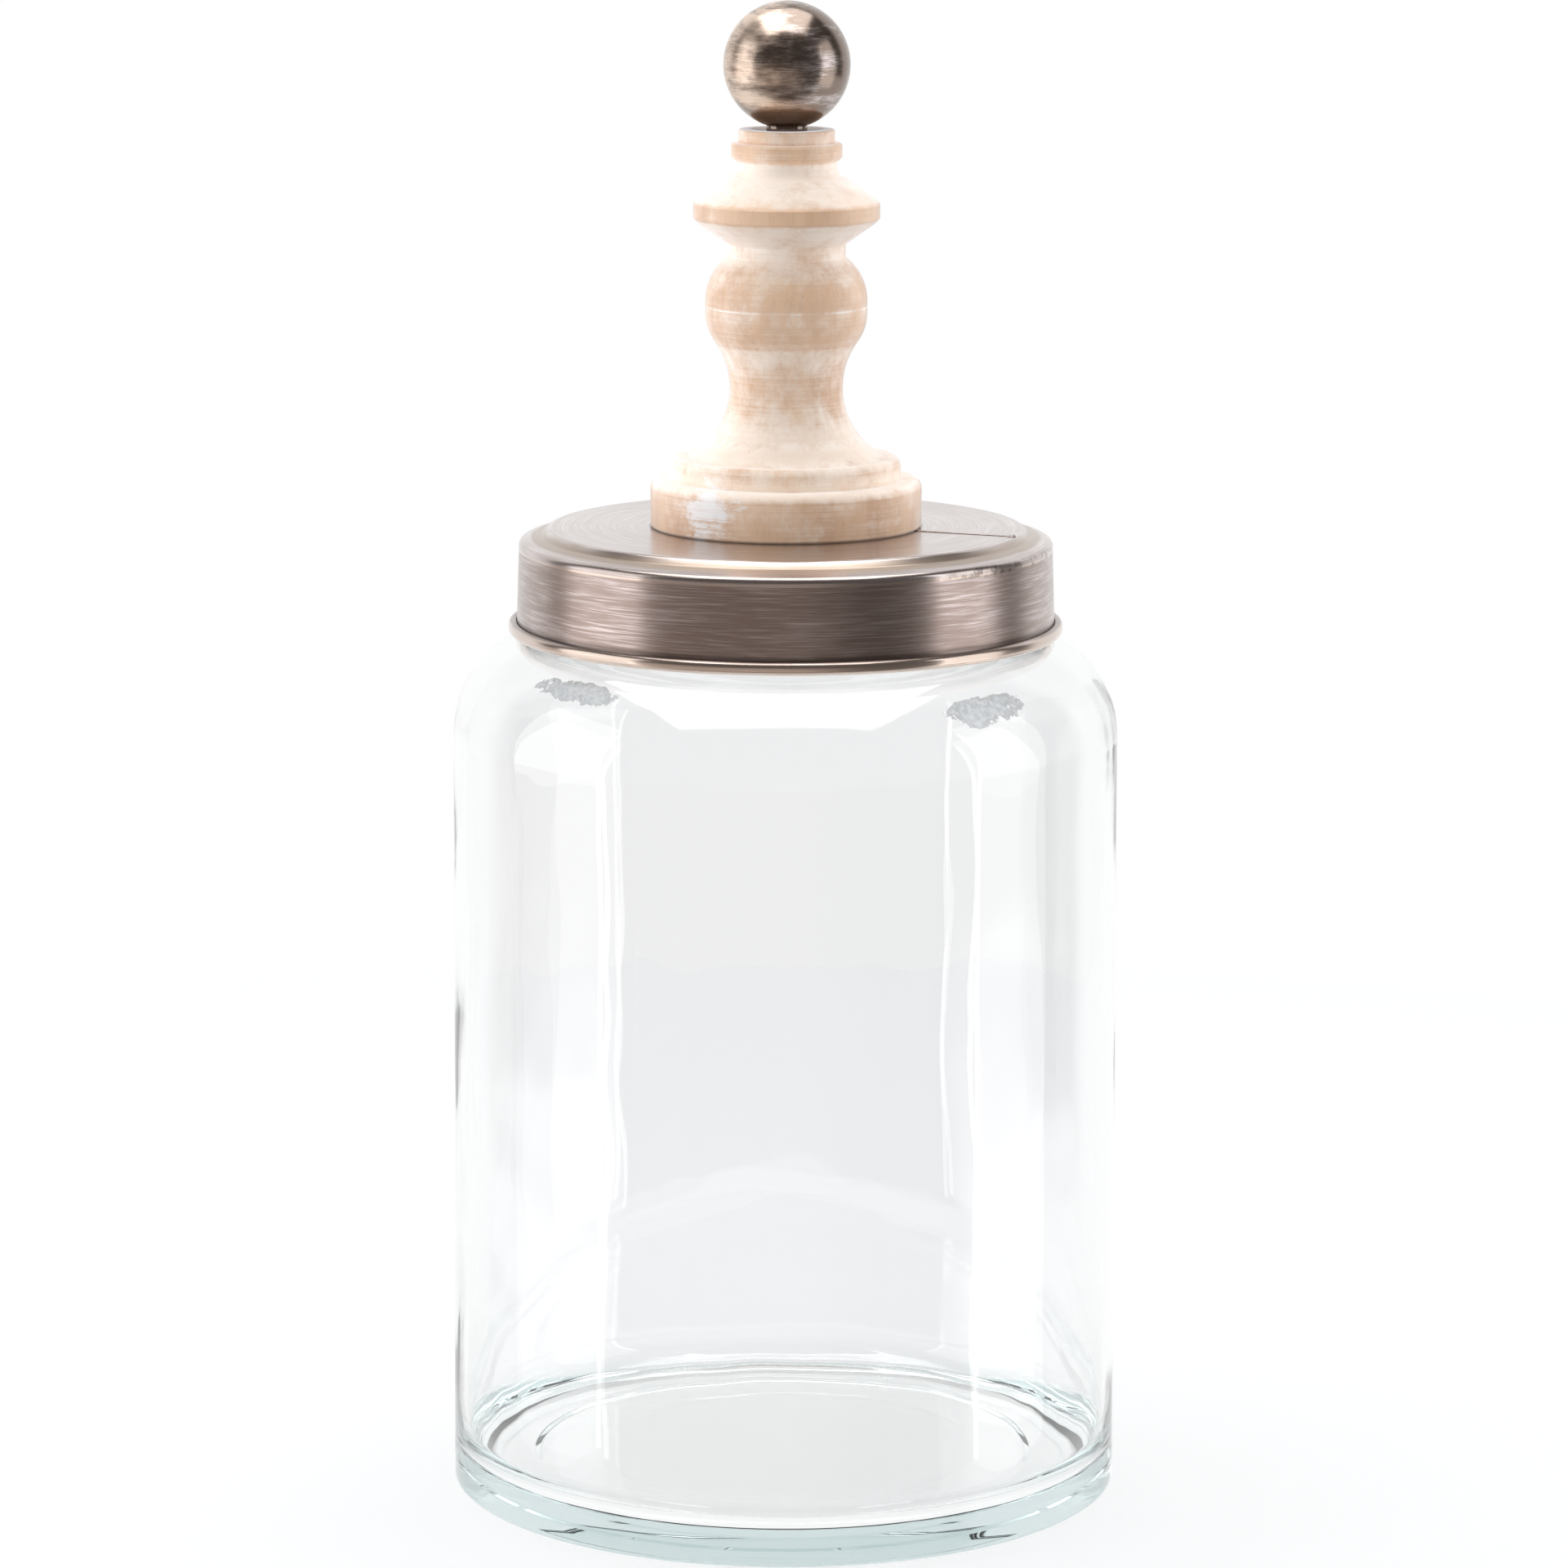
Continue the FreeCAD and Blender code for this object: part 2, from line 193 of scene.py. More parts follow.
class Sheet:
    """A node tree that is being written, with one short method for each kind of node used here."""

    def __init__(self, tree):
        self.tree = tree
        self.count = 0

    def node(self, kind, **settings):
        made = self.tree.nodes.new(kind)
        made.location = (220 * (self.count % 8), -260 * (self.count // 8))
        self.count += 1
        for key, value in settings.items():
            setattr(made, key, value)
        return made

    def feed(self, socket, value):
        """Sets a socket to a number, vector or colour, or links another socket to it."""
        if isinstance(value, bpy.types.NodeSocket):
            self.tree.links.new(value, socket)
        else:
            socket.default_value = value

    def set(self, node, **values):
        """Feeds a node's sockets by name, with _ for a space."""
        for label, value in values.items():
            self.feed(node.inputs[label.replace("_", " ")], value)
        return node.outputs

    def math(self, operation, a, b=0.0, clamp=False):
        made = self.node("ShaderNodeMath", operation=operation, use_clamp=clamp)
        self.feed(made.inputs[0], a)
        self.feed(made.inputs[1], b)
        return made.outputs[0]

    def plus(self, a, b, clamp=False):
        return self.math("ADD", a, b, clamp)

    def minus(self, a, b, clamp=False):
        return self.math("SUBTRACT", a, b, clamp)

    def times(self, a, b):
        return self.math("MULTIPLY", a, b)

    def off(self, value, middle):
        """How far value is from middle, whichever side it lies on."""
        return self.math("ABSOLUTE", self.minus(value, middle))

    def swing(self, value, amount):
        """Noise about 0.5 as a swing about 0, amount wide."""
        return self.times(self.minus(value, 0.5), amount)

    def place(self):
        """Object coordinates."""
        return self.node("ShaderNodeTexCoord").outputs["Object"]

    def parts(self, vector):
        """The x, y and z of a vector."""
        made = self.node("ShaderNodeSeparateXYZ")
        self.feed(made.inputs[0], vector)
        return made.outputs

    def off_axis(self, x, y):
        """Distance from the upright axis."""
        squares = self.plus(self.times(x, x), self.times(y, y))
        return self.math("SQRT", squares)

    def stretched(self, vector, scale):
        return self.set(self.node("ShaderNodeMapping"), Vector=vector, Scale=scale)[0]

    def noise(self, vector, scale=1.0, detail=4.0, roughness=0.55):
        made = self.node("ShaderNodeTexNoise")
        return self.set(made, Vector=vector, Scale=scale, Detail=detail, Roughness=roughness)[0]

    def range(self, value, low, high, to_low=0.0, to_high=1.0, smooth=True):
        made = self.node("ShaderNodeMapRange")
        made.interpolation_type = "SMOOTHSTEP" if smooth else "LINEAR"
        for socket, number in zip(made.inputs, (value, low, high, to_low, to_high)):
            self.feed(socket, number)
        return made.outputs[0]

    def mix(self, amount, a, b, blend="MIX"):
        """Mixes two colours; amount 0 gives a."""
        made = self.node("ShaderNodeMix", data_type="RGBA", blend_type=blend)
        self.feed(made.inputs[0], amount)
        self.feed(made.inputs[6], a)
        self.feed(made.inputs[7], b)
        return made.outputs[2]

    def group(self, tree, **values):
        return self.set(self.node("ShaderNodeGroup", node_tree=tree), **values)

    def bump(self, height, distance, strength):
        made = self.node("ShaderNodeBump")
        return self.set(made, Strength=strength, Distance=distance, Height=height)[0]

    def mix_shaders(self, amount, a, b, material):
        """The material's surface: shader a where amount is 0, and b where it is 1."""
        mixed = self.node("ShaderNodeMixShader")
        for socket, value in zip(mixed.inputs, (amount, a.outputs[0], b.outputs[0])):
            self.feed(socket, value)
        self.set(material.node_tree.nodes["Material Output"], Surface=mixed.outputs[0])


def grey(value, blue=None):
    """A linear grey, with its own blue where it isn't neutral."""
    return (value, value, value if blue is None else blue, 1.0)


def colour(red, green, blue):
    """A screen colour, 0 to 255, as the linear colour that a socket takes."""
    def linear(value):
        value /= 255
        return value / 12.92 if value <= 0.04045 else ((value + 0.055) / 1.055) ** 2.4
    return (linear(red), linear(green), linear(blue), 1.0)


def new_material(name, **constants):
    """A material with a Principled shader that gets the constants, as (material, sheet, shader)."""
    material = bpy.data.materials.new(name)
    material.use_nodes = True
    shader = material.node_tree.nodes["Principled BSDF"]
    shader.location = (2200, 0)
    material.node_tree.nodes["Material Output"].location = (2600, 0)
    for label, value in constants.items():
        shader.inputs[label.replace("_", " ")].default_value = value
    return material, Sheet(material.node_tree), shader


# %% [markdown]
# ### Lines round the axis
#
# Noise that is squeezed hard in height and hardly at all across gives long fine lines that follow a turned
# surface, with no seam at the back, as a texture of angles would have. On a flat top the lines have to be
# rings, so the group squeezes the distance from the axis as well.

# %% Group: turned lines
turned_lines = node_group(
    "turned lines",
    {"Lines per mm": 4.0, "Line length": 30.0, "Detail": 3.0},
    {"Value": "NodeSocketFloat"},
)
sheet = Sheet(turned_lines)
given = sheet.node("NodeGroupInput").outputs
x, y, z = sheet.parts(sheet.place())
radius = sheet.off_axis(x, y)
fineness = sheet.times(given["Lines per mm"], 1 / MM)
along = sheet.math("DIVIDE", 1 / MM, given["Line length"])
joined = sheet.node("ShaderNodeCombineXYZ")
sheet.feed(joined.inputs[0], sheet.times(x, along))
sheet.feed(joined.inputs[1], sheet.times(y, along))
RINGS_PER_LINE = 0.83
across = sheet.plus(z, sheet.times(radius, RINGS_PER_LINE))
sheet.feed(joined.inputs[2], sheet.times(across, fineness))
pattern = sheet.node("ShaderNodeTexNoise")
sheet.set(pattern, Vector=joined.outputs[0], Scale=1.0, Detail=given["Detail"])
sheet.set(sheet.node("NodeGroupOutput"), Value=pattern.outputs[0])

# %% [markdown]
# ### Speckle
#
# Pores, dust and small chips are sparse dots. A Voronoi texture gives a distance from scattered points, and
# a threshold on it keeps only small dots; a second, slower noise decides where there are any.

# %% Group: speckle
speckle = node_group(
    "speckle",
    {"Dots per cm": 10.0, "Dot size": 0.2, "Cover": 0.5, "Stretch": 1.0},
    {"Mask": "NodeSocketFloat"},
)
sheet = Sheet(speckle)
given = sheet.node("NodeGroupInput").outputs
squeeze = sheet.node("ShaderNodeCombineXYZ")
for axis in (0, 1):
    squeeze.inputs[axis].default_value = 1.0
sheet.feed(squeeze.inputs[2], sheet.math("DIVIDE", 1.0, given["Stretch"]))
scaled = sheet.node("ShaderNodeVectorMath", operation="MULTIPLY")
sheet.feed(scaled.inputs[0], sheet.place())
sheet.feed(scaled.inputs[1], squeeze.outputs[0])
cells = sheet.node("ShaderNodeTexVoronoi")
sheet.set(cells, Vector=scaled.outputs[0], Scale=sheet.times(given["Dots per cm"], 100.0))
size_here = sheet.times(given["Dot size"], sheet.noise(scaled.outputs[0], 900.0, 1.0))
dots = sheet.range(cells.outputs["Distance"], size_here, 0.0)
where = sheet.noise(scaled.outputs[0], 90.0, 3.0)
shown = sheet.math("LESS_THAN", where, given["Cover"])
sheet.set(sheet.node("NodeGroupOutput"), Mask=sheet.times(dots, shown))
print("shared effects:", turned_lines.name, "and", speckle.name)

# %% [markdown]
# ## The glass jar
#
# A blown jar is a wall of glass with two surfaces, and the light bends at both, so it is modelled as a
# closed shell with its real thickness: outside from the foot to the rim, then down the inside to the floor.
# The inner surface only ever touched air while the glass was blown, so it is slightly uneven, and the mould
# leaves rings in the underside. That unevenness is what makes the edges of reflections wander.

# %% Glass: outline
FOOT_RADIUS = width_of("glass_jar")
GLASS_TOP = height_of("glass_jar")[1]
BODY_RADIUS = FOOT_RADIUS - 1.2
WALL = 3.4
FLOOR = 7.0
NECK_RADIUS = 63.0
MOUTH_RADIUS = NECK_RADIUS - 4.0
SHOULDER_TOP = GLASS_TOP - 20.3
SHOULDER_CLIMB = math.tan(math.radians(18))
SHOULDER_BEND = 25.4
KICK_UP = 0.4
RING_INNER = FOOT_RADIUS - 20.0

outer_corner = SHOULDER_TOP - SHOULDER_CLIMB * (BODY_RADIUS - NECK_RADIUS)
inner_corner = SHOULDER_TOP - WALL - SHOULDER_CLIMB * (BODY_RADIUS - WALL - MOUTH_RADIUS)
print(f"body {BODY_RADIUS:.1f} mm in radius, shoulder's corner at {outer_corner:.1f} mm, wall {WALL} mm")

MOULD_RING = 48.0
mould_ring = [(MOULD_RING - 2, KICK_UP, 1), (MOULD_RING, KICK_UP + 0.025, 1), (MOULD_RING + 2, KICK_UP, 1)]

glass_outline = rounded(
    [(0, KICK_UP)]
    + mould_ring
    + [
        (RING_INNER - 2, KICK_UP, 4),
        (RING_INNER, 0.0, 4),
        (FOOT_RADIUS, 0.0, 0.9),
        (BODY_RADIUS, outer_corner, SHOULDER_BEND),
        (NECK_RADIUS, SHOULDER_TOP, 1.4),
        (NECK_RADIUS, GLASS_TOP, 1.9),
        (MOUTH_RADIUS, GLASS_TOP, 1.9),
        (MOUTH_RADIUS, SHOULDER_TOP - WALL, 1.5),
        (BODY_RADIUS - WALL, inner_corner, 23.6),
        (FOOT_RADIUS - WALL, FLOOR, 9),
        (0, FLOOR),
    ],
    pieces=12,
)


def with_steps(outline, step):
    """The same outline with long straight runs cut into lengths of about step, so that they can be shaped."""
    result = []
    for a, b in zip(outline, outline[1:] + outline[:1]):
        a, b = Vector(a), Vector(b)
        count = max(1, round((b - a).length / step)) if a.x > 1 or b.x > 1 else 1
        result += [tuple(a.lerp(b, i / count)) for i in range(count)]
    return result


glass = turn("jar_glass", with_steps(glass_outline, 6.0), sharp=60)

# %% [markdown]
# The unevenness is a Displace modifier with a cloud texture. It works only on a vertex group that holds the
# walls and the top of the floor: the foot has to stay flat, and the neck has to stay clear of the lid.

# %% Glass: uneven walls
def give_weights(piece, name, weight_at):
    """A vertex group whose weight comes from each vertex's place, in millimetres."""
    group = piece.vertex_groups.new(name=name)
    for vertex in piece.data.vertices:
        group.add([vertex.index], weight_at(vertex.co / MM), "REPLACE")


def clouds(name, size):
    texture = bpy.data.textures.new(name, "CLOUDS")
    texture.noise_scale = size * MM
    texture.noise_depth = 1
    return texture


def uneven(piece, group, texture, amount):
    """Moves the surface in and out by up to half of amount, in millimetres, and applies it."""
    bpy.context.view_layer.objects.active = piece
    push = piece.modifiers.new("uneven", "DISPLACE")
    push.texture = texture
    push.texture_coords = "LOCAL"
    push.strength = amount * MM
    push.mid_level = 0.5
    push.vertex_group = group
    bpy.ops.object.modifier_apply(modifier=push.name)


def inner_wall(place):
    """1 on the inner surface, fading out near the neck."""
    radius = math.hypot(place.x, place.y)
    inside = radius < BODY_RADIUS - WALL / 2 and FLOOR - 1 < place.z < SHOULDER_TOP
    return min(1.0, (SHOULDER_TOP - place.z) / 20, 0.25 + (place.z - FLOOR) / 30) if inside else 0.0


def outer_wall(place):
    radius = math.hypot(place.x, place.y)
    outside = radius > BODY_RADIUS - WALL / 2 and place.z > 12
    return min(1.0, (place.z - 12) / 20, max(0, SHOULDER_TOP - 8 - place.z) / 20) if outside else 0.0


give_weights(glass, "inner wall", inner_wall)
give_weights(glass, "outer wall", outer_wall)
uneven(glass, "inner wall", clouds("blown unevenness", 34), 0.55)
uneven(glass, "outer wall", clouds("mould unevenness", 60), 0.25)
glass.vertex_groups.clear()

# %% [markdown]
# Clear glass in Cycles is a Principled shader with full transmission. Blown glass ripples a little where
# the air cooled it, and a shallow bump that fades out towards the foot gives that.

# %% Glass: material
glass_material, sheet, shader = new_material("clear glass", Metallic=0.0, IOR=1.5, Transmission_Weight=1.0)
place = sheet.place()
x, y, z = sheet.parts(place)
radius = sheet.off_axis(x, y)
ripple = sheet.noise(sheet.stretched(place, (38, 38, 16)), 1.0, 2.0, 0.4)
ripple = sheet.times(ripple, sheet.range(z, 6 * MM, 30 * MM))
sheet.set(shader, Normal=sheet.bump(ripple, 0.35 * MM, 0.6))

# %% [markdown]
# ### Painted reflections on the shoulder
#
# The shoulder carries two rough grey patches, painted reflections of the lid in the glass. Each is an oval
# about a point given as its place across and its distance from the axis. Noise is added to the distance
# from that point, so that the edge comes out torn, and a band round the edge value draws the darker
# outline.

# %% Glass: the painted reflections' shape
# The places of the two painted reflections: across, and distance from the axis.
PAINTED_REFLECTIONS = ((-48.8, 73.6), (47.2, 76.2))
REFLECTION_LENGTH, REFLECTION_WIDTH = 9.5, 2.3
FAR_AWAY = 9.0
nearest = FAR_AWAY
for across, out in PAINTED_REFLECTIONS:
    along = sheet.math("DIVIDE", sheet.minus(x, across * MM), REFLECTION_LENGTH * MM)
    inward = sheet.math("DIVIDE", sheet.minus(radius, out * MM), REFLECTION_WIDTH * MM)
    apart = sheet.plus(sheet.times(along, along), sheet.times(inward, inward))
    nearest = sheet.math("MINIMUM", nearest, apart)
nearest = sheet.plus(nearest, sheet.swing(sheet.noise(place, 260.0, 6.0, 0.7), 3.4))
painted_reflection = sheet.range(nearest, 1.05, 0.9)
outline = sheet.range(sheet.off(nearest, 0.9), 0.3, 0.05)
print(len(PAINTED_REFLECTIONS), "painted_reflections,", 2 * REFLECTION_LENGTH, "mm long")

# %% [markdown]
# The wall has two surfaces, and a painted reflection lies on the outer one only. The shoulder is an arc, so
# its outer surface is told from its inner one by the distance from the arc's centre. In front means towards
# the viewer, -Y.

# %% Glass: only on the outside, in front
SHOULDER_FROM = 0.19
ARC_DROP = math.tan(math.radians(36))
from_bend = sheet.node("ShaderNodeCombineXYZ")
sheet.feed(from_bend.inputs[0], sheet.minus(radius, (BODY_RADIUS - SHOULDER_BEND) * MM))
sheet.feed(from_bend.inputs[2], sheet.minus(z, (outer_corner - SHOULDER_BEND * ARC_DROP) * MM))
reach = sheet.node("ShaderNodeVectorMath", operation="LENGTH")
sheet.feed(reach.inputs[0], from_bend.outputs[0])
outside = sheet.math("GREATER_THAN", reach.outputs["Value"], (SHOULDER_BEND - WALL / 2) * MM)
above = sheet.math("GREATER_THAN", z, SHOULDER_FROM)
in_front = sheet.math("LESS_THAN", y, 0.0)
on_shoulder = sheet.times(outside, sheet.times(above, in_front))
painted_reflection = sheet.times(painted_reflection, on_shoulder)
flecks = sheet.range(sheet.noise(place, 700.0, 4.0, 0.7), 0.4, 0.6)
# The grey of the painted reflections, with a darker outline.
reflection_grey = sheet.mix(flecks, colour(176, 180, 184), colour(216, 219, 222))
reflection_grey = sheet.mix(sheet.times(outline, 0.6), reflection_grey, colour(146, 146, 144))
sheet.set(shader, Base_Color=sheet.mix(painted_reflection, grey(1.0), reflection_grey))
sheet.set(shader, Roughness=sheet.times(painted_reflection, 0.4))

# %% [markdown]
# ### What light does in the glass
#
# Soda-lime glass has a faint green-blue tint that shows only where the light's path in it is long, as in
# the thick base, so the tint is a Volume Absorption and not a colour of the surface. Lamps reach what
# stands behind the glass through a Transparent shader that only shadow rays meet.

# %% Glass: shadow and tint
clear = sheet.node("ShaderNodeBsdfTransparent")
clear.inputs["Color"].default_value = (0.93, 0.95, 0.95, 1)
ray = sheet.node("ShaderNodeLightPath")
sheet.mix_shaders(ray.outputs["Is Shadow Ray"], shader, clear, glass_material)
tint = sheet.node("ShaderNodeVolumeAbsorption")
tint.inputs["Color"].default_value = (0.5, 0.67, 0.68, 1)
tint.inputs["Density"].default_value = 4.8
sheet.set(glass_material.node_tree.nodes["Material Output"], Volume=tint.outputs[0])

# %% [markdown]
# ## The sealing ring
#
# A soft ring lies on the rim under the lid. Only its edge shows when the lid is off, so it is a flat ring
# with rounded edges, in a translucent pale rubber.

# %% Sealing ring
SEAL_LOW, SEAL_TOP = height_of("lid_seal")
SEAL_OUTER = width_of("lid_seal")
SEAL_INNER = MOUTH_RADIUS - 1.0
seal = turn(
    "seal_ring",
    rounded(
        [
            (SEAL_INNER, SEAL_LOW, 0.5),
            (SEAL_OUTER, SEAL_LOW, 0.5),
            (SEAL_OUTER, SEAL_TOP, 0.5),
            (SEAL_INNER, SEAL_TOP, 0.5),
        ],
        pieces=4,
    ),
    steps=COARSE * 2,
)
seal_material, sheet, shader = new_material("pale rubber", Roughness=0.6, Subsurface_Weight=0.2)
mottle = sheet.noise(sheet.place(), 600.0, 4.0)
sheet.set(shader, Base_Color=sheet.mix(mottle, colour(196, 192, 182), colour(222, 219, 209)))
sheet.set(shader, Normal=sheet.bump(mottle, 0.05 * MM, 0.5))

# %% [markdown]
# ## The lid's top
#
# The top is pressed: a flat panel, a small step down into a shallow valley, and a rounded ledge that comes
# down on the band, with a flange that goes inside it. Thin sheet is never quite flat, so the panel gets a
# shallow dent or two by the same Displace modifier.

# %% Lid top: outline
SHEET = 0.6
ROD_RADIUS = width_of("tie_rod")
FLANGE_LOW, SEAT_TOP = height_of("lid_top")
PANEL_TOP = SEAT_TOP - 0.35
LEDGE_TOP = PANEL_TOP - 3.2
FLANGE_RADIUS = 64.6
FLANGE_FLARE = 0.2
LID_CORNER = 1.4
PANEL_EDGE = 58.2
STEP_FOOT, STEP_DROP = 60.0, 1.7
SEAT_RADIUS = 30.5
LID_ROOM = 1.8
RIM_RADIUS, RIM_LOW = NECK_RADIUS + LID_ROOM + SHEET + 0.03, height_of("lid_band")[1] - 0.3
HOLE = ROD_RADIUS + 0.3

top_outline = rounded(
    [
        (HOLE, SEAT_TOP - SHEET),
        (SEAT_RADIUS, SEAT_TOP - SHEET),
        (PANEL_EDGE - 0.3, PANEL_TOP - SHEET, 1.6),
        (STEP_FOOT - 0.3, PANEL_TOP - STEP_DROP - SHEET, 1.0),
        (FLANGE_RADIUS - SHEET, LEDGE_TOP - SHEET, LID_CORNER - SHEET),
        (FLANGE_RADIUS + FLANGE_FLARE - SHEET, FLANGE_LOW),
        (FLANGE_RADIUS + FLANGE_FLARE, FLANGE_LOW),
        (FLANGE_RADIUS + FLANGE_FLARE, RIM_LOW),
        (RIM_RADIUS, RIM_LOW),
        (RIM_RADIUS, LEDGE_TOP, 1.5),
        (STEP_FOOT, PANEL_TOP - STEP_DROP, 1.4),
        (PANEL_EDGE, PANEL_TOP, 1.9),
        (SEAT_RADIUS, SEAT_TOP),
        (HOLE, SEAT_TOP),
    ]
)
lid_panel = turn("lid_panel", with_steps(top_outline, 4.0), sharp=50)


def on_panel(place):
    radius = math.hypot(place.x, place.y)
    return max(0.0, min(1.0, (radius - SEAT_RADIUS - 4) / 8, (PANEL_EDGE + 2 - radius) / 6))


give_weights(lid_panel, "panel", on_panel)
uneven(lid_panel, "panel", clouds("sheet unevenness", 22), 0.10)
lid_panel.vertex_groups.clear()

# %% [markdown]
# ## The band and its bead
#
# The band is a strip rolled into a ring. Its raw upper edge shows as a fine crease under the ledge, and its
# lower edge is curled outwards over itself, which stiffens it and gives the hand a round edge.

# %% Lid band
BAND_LOW, BAND_TOP = height_of("lid_band")
BAND_INNER = NECK_RADIUS + LID_ROOM
BAND_DRAFT = 0.65
BEAD_RADIUS = 1.3
BEAD_FLAT = 0.6
CURL = 115

wall_in = BAND_INNER + BAND_DRAFT
bead_middle = wall_in + BEAD_RADIUS
bead_low = BAND_LOW + BEAD_RADIUS
bead_high = bead_low + BEAD_FLAT
hollow = BEAD_RADIUS - SHEET
band_outline = (
    [(BAND_INNER, BAND_TOP - 0.1)]
    + arc(bead_middle, bead_low, BEAD_RADIUS, 180, 360, 16)
    + arc(bead_middle, bead_high, BEAD_RADIUS, 0, CURL, 12)
    + arc(bead_middle, bead_high, hollow, CURL, 0, 8)
    + arc(bead_middle, bead_low, hollow, 360, 180, 10)
    + [(BAND_INNER + SHEET, BAND_TOP - 0.15), (BAND_INNER + SHEET - 0.15, BAND_TOP)]
    + [(BAND_INNER + 0.1, BAND_TOP)]
)
lid_band = turn("band_and_bead", with_steps(band_outline, 3.0), sharp=40)

# %% [markdown]
# ## The lap seam
#
# The panel is joined along one radius, where one edge of the sheet lies over the other. What shows is a
# thin raised line from under the finial to the step, with a spot of solder at its outer end. The strip
# starts as a cube at the seam's size; a bevel rounds its edges, and it is tipped by the panel's slight fall
# and swung round the axis to its place.

# %% Seam and solder
SEAM_ANGLE = math.radians(-16.5)
SEAM_WIDTH, SEAM_THICK, SEAM_PROUD = 1.3, 0.5, 0.2
SEAM_INNER, SEAM_OUTER = SEAT_RADIUS, PANEL_EDGE - 0.6
PANEL_FALL = math.atan2(SEAT_TOP - PANEL_TOP, PANEL_EDGE - SEAT_RADIUS)


def to_the_seam(piece):
    """Tips a piece that lies along +X by the panel's fall, and swings it round the axis to the seam."""
    edit(piece)
    bpy.ops.mesh.select_all(action="SELECT")
    hub = (SEAT_RADIUS * MM, 0, SEAT_TOP * MM)
    bpy.ops.transform.rotate(value=-PANEL_FALL, orient_axis="Y", center_override=hub)
    bpy.ops.transform.rotate(value=-SEAM_ANGLE, orient_axis="Z", center_override=(0, 0, 0))
    close_shell()


seam = new_primitive("lap_seam", bpy.ops.mesh.primitive_cube_add, size=1)
edit(seam)
bpy.ops.transform.resize(value=((SEAM_OUTER - SEAM_INNER) * MM, SEAM_WIDTH * MM, SEAM_THICK * MM))
middle = Vector(((SEAM_INNER + SEAM_OUTER) / 2, 0, SEAT_TOP + SEAM_PROUD - SEAM_THICK / 2)) * MM
bpy.ops.transform.translate(value=middle)
bpy.ops.mesh.bevel(offset=0.12 * MM, segments=2, affect="EDGES")
to_the_seam(seam)
finish_mesh(seam, 50)

solder = new_primitive(
    "solder_spot", bpy.ops.mesh.primitive_uv_sphere_add, segments=24, ring_count=12, radius=1.2 * MM
)
edit(solder)
bpy.ops.transform.resize(value=(1.0, 1.2, 0.28))
bpy.ops.transform.translate(value=((SEAM_OUTER - 0.6) * MM, 0, (SEAT_TOP + 0.05) * MM))
bpy.ops.mesh.select_all(action="SELECT")
bpy.ops.transform.vertex_random(offset=0.08 * MM, seed=4)
to_the_seam(solder)
finish_mesh(solder, 80)

# %% [markdown]
# ## Antiqued sheet
#
# Sheet is antiqued in two steps: it is darkened all over, and then a belt takes the dark off again in fine
# strokes, so that light metal shows between dark lines. The strokes run round the band and in rings on the
# top. Fine and broad strokes and a slow blotch are added up by weight, and where the sum is high the metal
# is bare.

# %% Antiqued sheet: strokes
def brushed(sheet, streak):
    """The strokes' height and the blotch under them; streak is the length of a fine stroke in millimetres."""
    fine = sheet.group(turned_lines, Lines_per_mm=4.6, Line_length=streak, Detail=3.0)["Value"]
    broad = sheet.group(turned_lines, Lines_per_mm=1.7, Line_length=streak * 2.2, Detail=4.0)["Value"]
    blotch = sheet.noise(sheet.stretched(sheet.place(), (34, 34, 90)), 1.0, 4.0, 0.6)
    strokes = sheet.plus(sheet.times(fine, 0.5), sheet.times(broad, 0.25))
    return sheet.plus(strokes, sheet.times(blotch, 0.25)), blotch


# %% [markdown]
# ### Where hands have been, and painted shade
#
# Wear goes by height: the bead and the band's upper edge are polished by hands, and shade is painted into
# the crease over the bead. The lid's right-hand edge has been knocked, so dark shows there in small chips.

# %% Antiqued sheet: wear and painted shade by height
# The middle colour is painted shade, for the crease over the bead.
POLISHED, CREASE_SHADE, CHIP = colour(222, 204, 190), colour(84, 72, 65), colour(96, 84, 78)


# Paints shade into a crease, darkest in its middle.
def shade_in_crease(sheet, base, height, crevice):
    for start, end in crevice:
        half = (end - start) / 2 * MM
        away = sheet.off(height, (start + end) / 2 * MM)
        base = sheet.mix(sheet.range(away, half, half * 0.2, 0.0, 0.6), base, CREASE_SHADE)
    return base


def hands_on(sheet, base, rough, height, worn):
    for start, end in worn:
        half = (end - start) / 2 * MM
        polished = sheet.range(sheet.off(height, (start + end) / 2 * MM), half, half * 0.75)
        base = sheet.mix(sheet.times(polished, 0.7), base, POLISHED)
        rough = sheet.times(rough, sheet.range(polished, 0.0, 1.0, 1.0, 0.65))
    return base, rough


def chips_on(sheet, base, x, height):
    near_edge = sheet.range(sheet.off(height, BAND_TOP * MM), 1.7 * MM, 0.5 * MM)
    chips = sheet.times(near_edge, sheet.range(x, 34 * MM, 46 * MM))
    chips = sheet.times(chips, sheet.range(sheet.noise(sheet.place(), 420.0, 4.0, 0.65), 0.46, 0.58))
    return sheet.mix(sheet.times(chips, 0.6), base, CHIP)


# %% [markdown]
# ### Where the belt doesn't reach, and the finial's shadow
#
# On the top, wear goes by the distance from the axis: the valley at the foot of the step stays dull, and a
# dark line of painted shadow runs round the finial's foot.

# %% Antiqued sheet: wear and painted shadow by radius
# The second colour is a painted shadow, a dark ring round the finial's foot.
VALLEY, FOOT_SHADOW = colour(168, 148, 128), colour(60, 48, 42)
FOOT_SHADOW_RADIUS = 33.2


